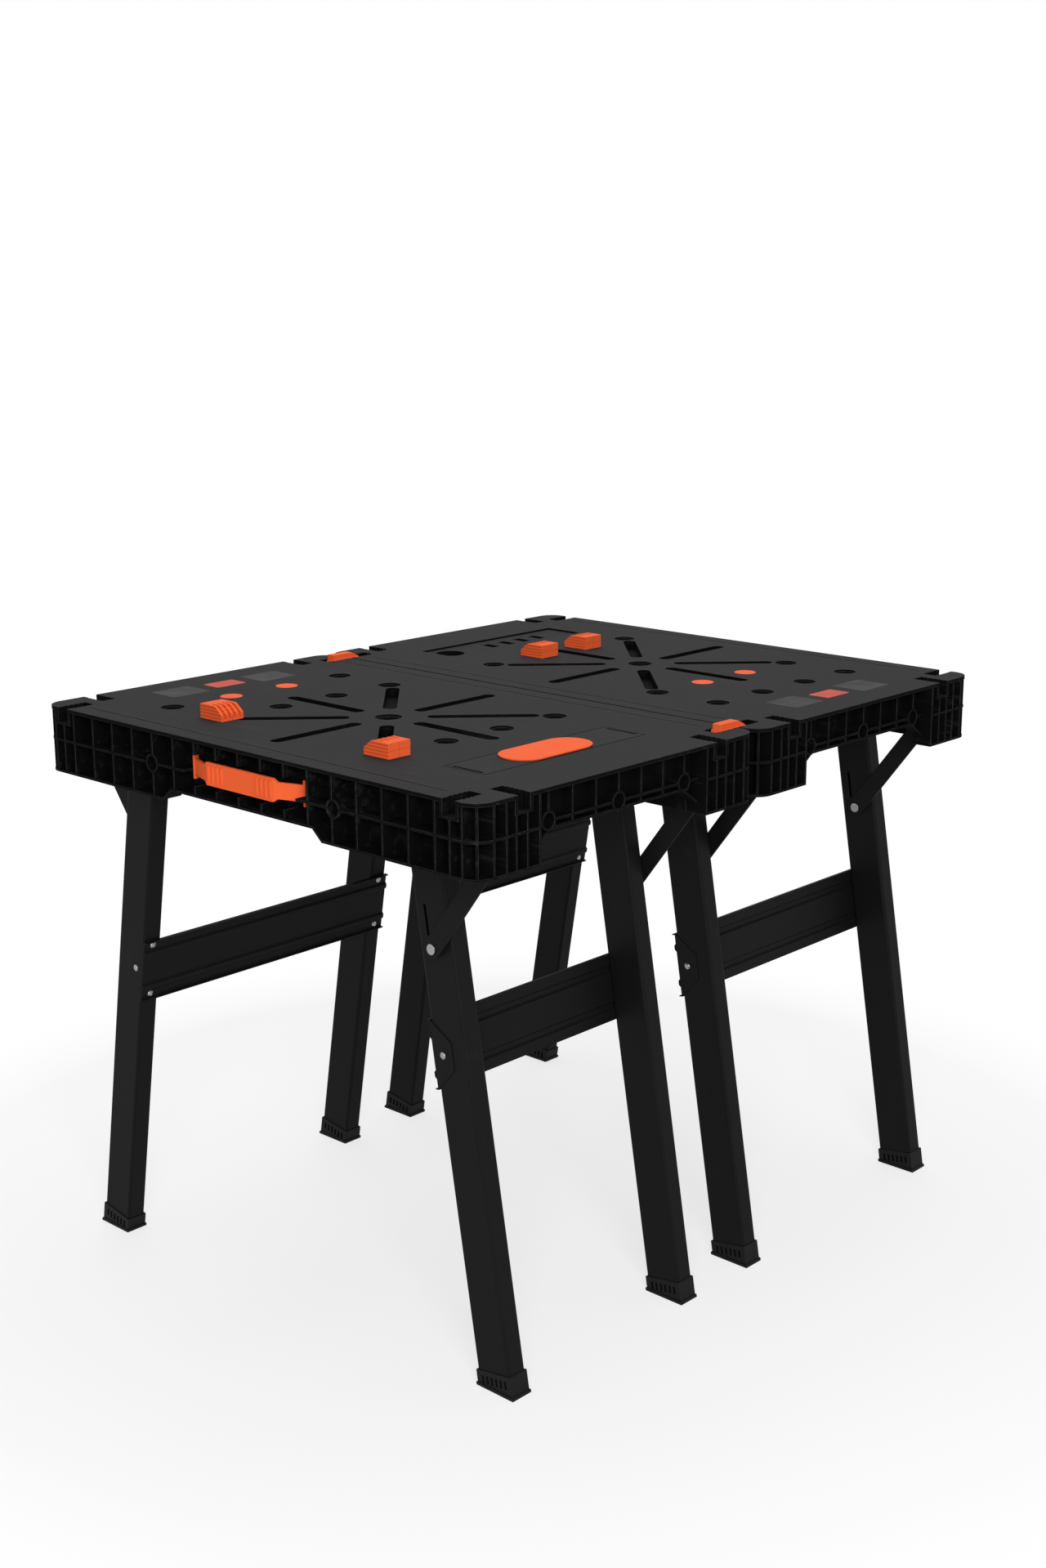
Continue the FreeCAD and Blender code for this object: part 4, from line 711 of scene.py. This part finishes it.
def add_dogs():
    """The four dogs, each a finned block on a round peg."""
    for node, inward in DOG_DIRECTIONS.items():
        middle = middle_of(node)
        grid = dog_points(middle, inward)
        block = add_piece(f"{node}_block", grid, MATERIALS["dog_plastic"], node)
        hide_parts(node)
        grid = stadium_rings(middle, 0.0, PEG_RADII, [DECK_Z + rise for rise in PEG_RISES])
        add_piece(f"{node}_peg", grid, MATERIALS["orange_plastic"], node)


add_dogs()


# Link clips in millimetres: stations along Y, each with the grip's rise and the ends' sink there
CLIP_STATIONS = (-44.5, -33.0, -32.0, 6.0, 20.0, 22.0, 44.5)
CLIP_RISES = (0.0, 0.0, 8.0, 8.0, 1.0, 0.0, 0.0)
CLIP_SINKS = (13.0, 13.0, 0.0, 0.0, 0.0, 13.0, 13.0)

# The clips' outline in millimetres from the middle and the deck, and which points rise or sink
CLIP_SIDES = (-9.6, 9.6, 9.6, 7.0, 7.0, -7.0, -7.0, -9.6)
CLIP_LEVELS = (-20.5, -20.5, -0.8, -0.7, -0.4, -0.4, -0.7, -0.8)
IS_GRIP = (0, 0, 0, 0, 1, 1, 0, 0)
IS_UPPER = (0, 0, 1, 1, 1, 1, 1, 1)


def clip_points(middle_x):
    """A bar that fills two link slots: one stepped outline in X and Z per station along Y, with a grip
    whose top rises and falls between the stations, and ends that lie deep in the slots."""
    along = np.array(CLIP_STATIONS)[:, None] * MM
    rise = np.array(CLIP_RISES)[:, None] * MM
    sink = np.array(CLIP_SINKS)[:, None] * MM
    x = middle_x + np.array(CLIP_SIDES) * MM + 0.0 * along
    z = DECK_Z + np.array(CLIP_LEVELS) * MM + np.array(IS_GRIP) * rise - np.array(IS_UPPER) * sink
    return np.stack((x, along + 0.0 * x, z), axis=-1)


def add_clips():
    """The two bars across the seam."""
    for node in ("link_clip_left", "link_clip_right"):
        grid = clip_points(middle_of(node)[0])
        bar = add_piece(f"{node}_bar", grid, MATERIALS["orange_plastic"], node)
        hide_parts(node)


add_clips()


# Close ribs in the corner blocks: place from the bench's middle, gap to the outline, drop under the deck
LONG_SIDE_RIBS = ((384.0 * MM, 0.4 * MM, 23.0 * MM), (404.0 * MM, 0.5 * MM, 4.0 * MM))
END_RIBS = ((180.0 * MM, 0.4 * MM, 23.0 * MM), (199.0 * MM, 0.4 * MM, 23.0 * MM))
LONG_SIDE_RIB_DEPTH = 27.5 * MM
END_RIB_DEPTH = 30.5 * MM
RIB_THICKNESS = 3.0 * MM
RIB_BASE_DROP = 93.5 * MM
BOX_FACES = ((0, 2, 6, 4), (1, 5, 7, 3), (0, 1, 3, 2), (4, 6, 7, 5), (0, 4, 5, 1), (2, 3, 7, 6))
QUARTERS = ((1, 1, 1), (-1, 1, 1), (1, -1, 1), (-1, -1, 1))


def rib_boxes():
    """The low and the high corner of each rib in one corner block: half a thickness to both sides of its
    place, from a depth inside the outline out to the gap, and from the base up to the drop."""
    half, base = RIB_THICKNESS / 2, DECK_Z - RIB_BASE_DROP
    boxes = []
    for place, gap, drop in LONG_SIDE_RIBS:
        low = (place - half, HALF_WIDTH - LONG_SIDE_RIB_DEPTH, base)
        boxes.append((low, (place + half, HALF_WIDTH - gap, DECK_Z - drop)))
    for place, gap, drop in END_RIBS:
        low = (HALF_LENGTH - END_RIB_DEPTH, place - half, base)
        boxes.append((low, (HALF_LENGTH - gap, place + half, DECK_Z - drop)))
    return np.array(boxes)


def rib_corners(shift):
    """Eight corners of each rib, a box between a low and a high corner. The boxes of one corner block are
    carried to the other three by turning the sign of X or Y; the smaller value stays the low one, so faces
    keep their side."""
    boxes = rib_boxes()
    signs = np.array(QUARTERS)[:, None]
    first, second = signs * boxes[:, 0], signs * boxes[:, 1]
    low = np.minimum(first, second).reshape(-1, 1, 3)
    high = np.maximum(first, second).reshape(-1, 1, 3)
    is_high = np.indices((2, 2, 2)).reshape(3, -1).T
    return low + is_high * (high - low) + np.array((0.0, shift, 0.0))


def add_corner_ribs():
    """One mesh of upright ribs per bench, six faces to a rib."""
    finish = MATERIALS["deck_plastic"]
    for bench, side in BENCH_SIDES.items():
        corners = rib_corners(side * BENCH_SHIFT)
        count, per_rib = corners.shape[:2]
        faces = np.arange(count)[:, None, None] * per_rib + np.array(BOX_FACES)
        faces = faces.reshape(-1, 4).tolist()
        add_mesh(f"{bench}_corner_ribs", corners, faces, finish, "tops")


add_corner_ribs()


# Camera, floor and light

def add_camera():
    """The fitted camera: turned by yaw, pitch and roll, with its lens from the focal length in pixels."""
    data = bpy.data.cameras.new("photo camera")
    data.sensor_fit = "VERTICAL"
    data.sensor_height = SENSOR_HEIGHT
    data.lens = SENSOR_HEIGHT * CAMERA_FOCAL_PIXELS / PHOTO_HEIGHT
    data.clip_end = VIEW_END
    camera = bpy.data.objects.new("photo camera", data)
    camera.location = CAMERA_PLACE
    turn = Matrix.Rotation(CAMERA_YAW, 3, "Z") @ Matrix.Rotation(math.pi / 2 + CAMERA_PITCH, 3, "X")
    camera.rotation_euler = (turn @ Matrix.Rotation(CAMERA_ROLL, 3, "Z")).to_euler()
    bpy.context.scene.collection.objects.link(camera)
    bpy.context.scene.camera = camera


def seen_directly(tree):
    """1 for rays from the camera, from mirrors and through glass, else 0."""
    path = put(tree, "ShaderNodeLightPath").outputs
    mirrored = math_node(tree, "MAXIMUM", path["Is Glossy Ray"], path["Is Transmission Ray"])
    return math_node(tree, "MAXIMUM", path["Is Camera Ray"], mirrored)


def add_floor():
    """A wide white floor: it keeps the soft shadow round the feet and fades to plain white further out."""
    mesh = bpy.data.meshes.new("studio floor")
    corners = [(x * FLOOR_HALF, y * FLOOR_HALF, 0.0) for x, y in ((-1, -1), (1, -1), (1, 1), (-1, 1))]
    mesh.from_pydata(corners, [], [(0, 1, 2, 3)])
    floor = bpy.data.objects.new("studio floor", mesh)
    bpy.context.scene.collection.objects.link(floor)
    material, tree, shader, place = new_material("white floor", 0.0)
    shader["Base Color"].default_value = FLOOR_COLOUR
    shader["Roughness"].default_value = 0.9
    reach = put(tree, "ShaderNodeVectorMath", {0: place}, operation="LENGTH").outputs["Value"]
    glow = put(tree, "ShaderNodeEmission", {"Color": WHITE, "Strength": 1.0})
    fade = math_node(tree, "MAXIMUM", ramp(tree, reach, FLOOR_FADE_START, FLOOR_FADE_END), FLOOR_GLOW)
    fade = product(tree, fade, seen_directly(tree))
    output = tree.nodes["Material Output"]
    base = output.inputs[0].links[0].from_socket
    mixed = put(tree, "ShaderNodeMixShader", {"Fac": fade, 1: base, 2: glow.outputs[0]})
    tree.links.new(mixed.outputs[0], output.inputs[0])
    mesh.materials.append(material)


def add_lamp(name, place, target, size, power):
    """A square soft box at place that looks at target."""
    data = bpy.data.lights.new(name, "AREA")
    data.shape = "SQUARE"
    data.size = size
    data.energy = power
    lamp = bpy.data.objects.new(name, data)
    bpy.context.scene.collection.objects.link(lamp)
    place, target = np.array(place), np.array(target)
    away = (place - target) / np.linalg.norm(place - target)
    lamp.location = place
    lamp.rotation_euler = (math.acos(away[2]), 0.0, math.atan2(away[1], away[0]) + math.pi / 2)


def add_light():
    """A world that is white to look at and lights the object weakly, and two soft boxes."""
    world = bpy.data.worlds.new("studio")
    bpy.context.scene.world = world
    world.use_nodes = True
    tree = world.node_tree
    tree.nodes.clear()
    rest = product(tree, seen_directly(tree), 1.0 - WORLD_LIGHT)
    strength = math_node(tree, "ADD", rest, WORLD_LIGHT)
    shade = put(tree, "ShaderNodeBackground", {"Color": WHITE, "Strength": strength})
    put(tree, "ShaderNodeOutputWorld", {0: shade.outputs[0]})
    for lamp in LAMPS:
        add_lamp(*lamp)


add_camera()
add_floor()
add_light()
bpy.context.scene.view_settings.view_transform = "Standard"
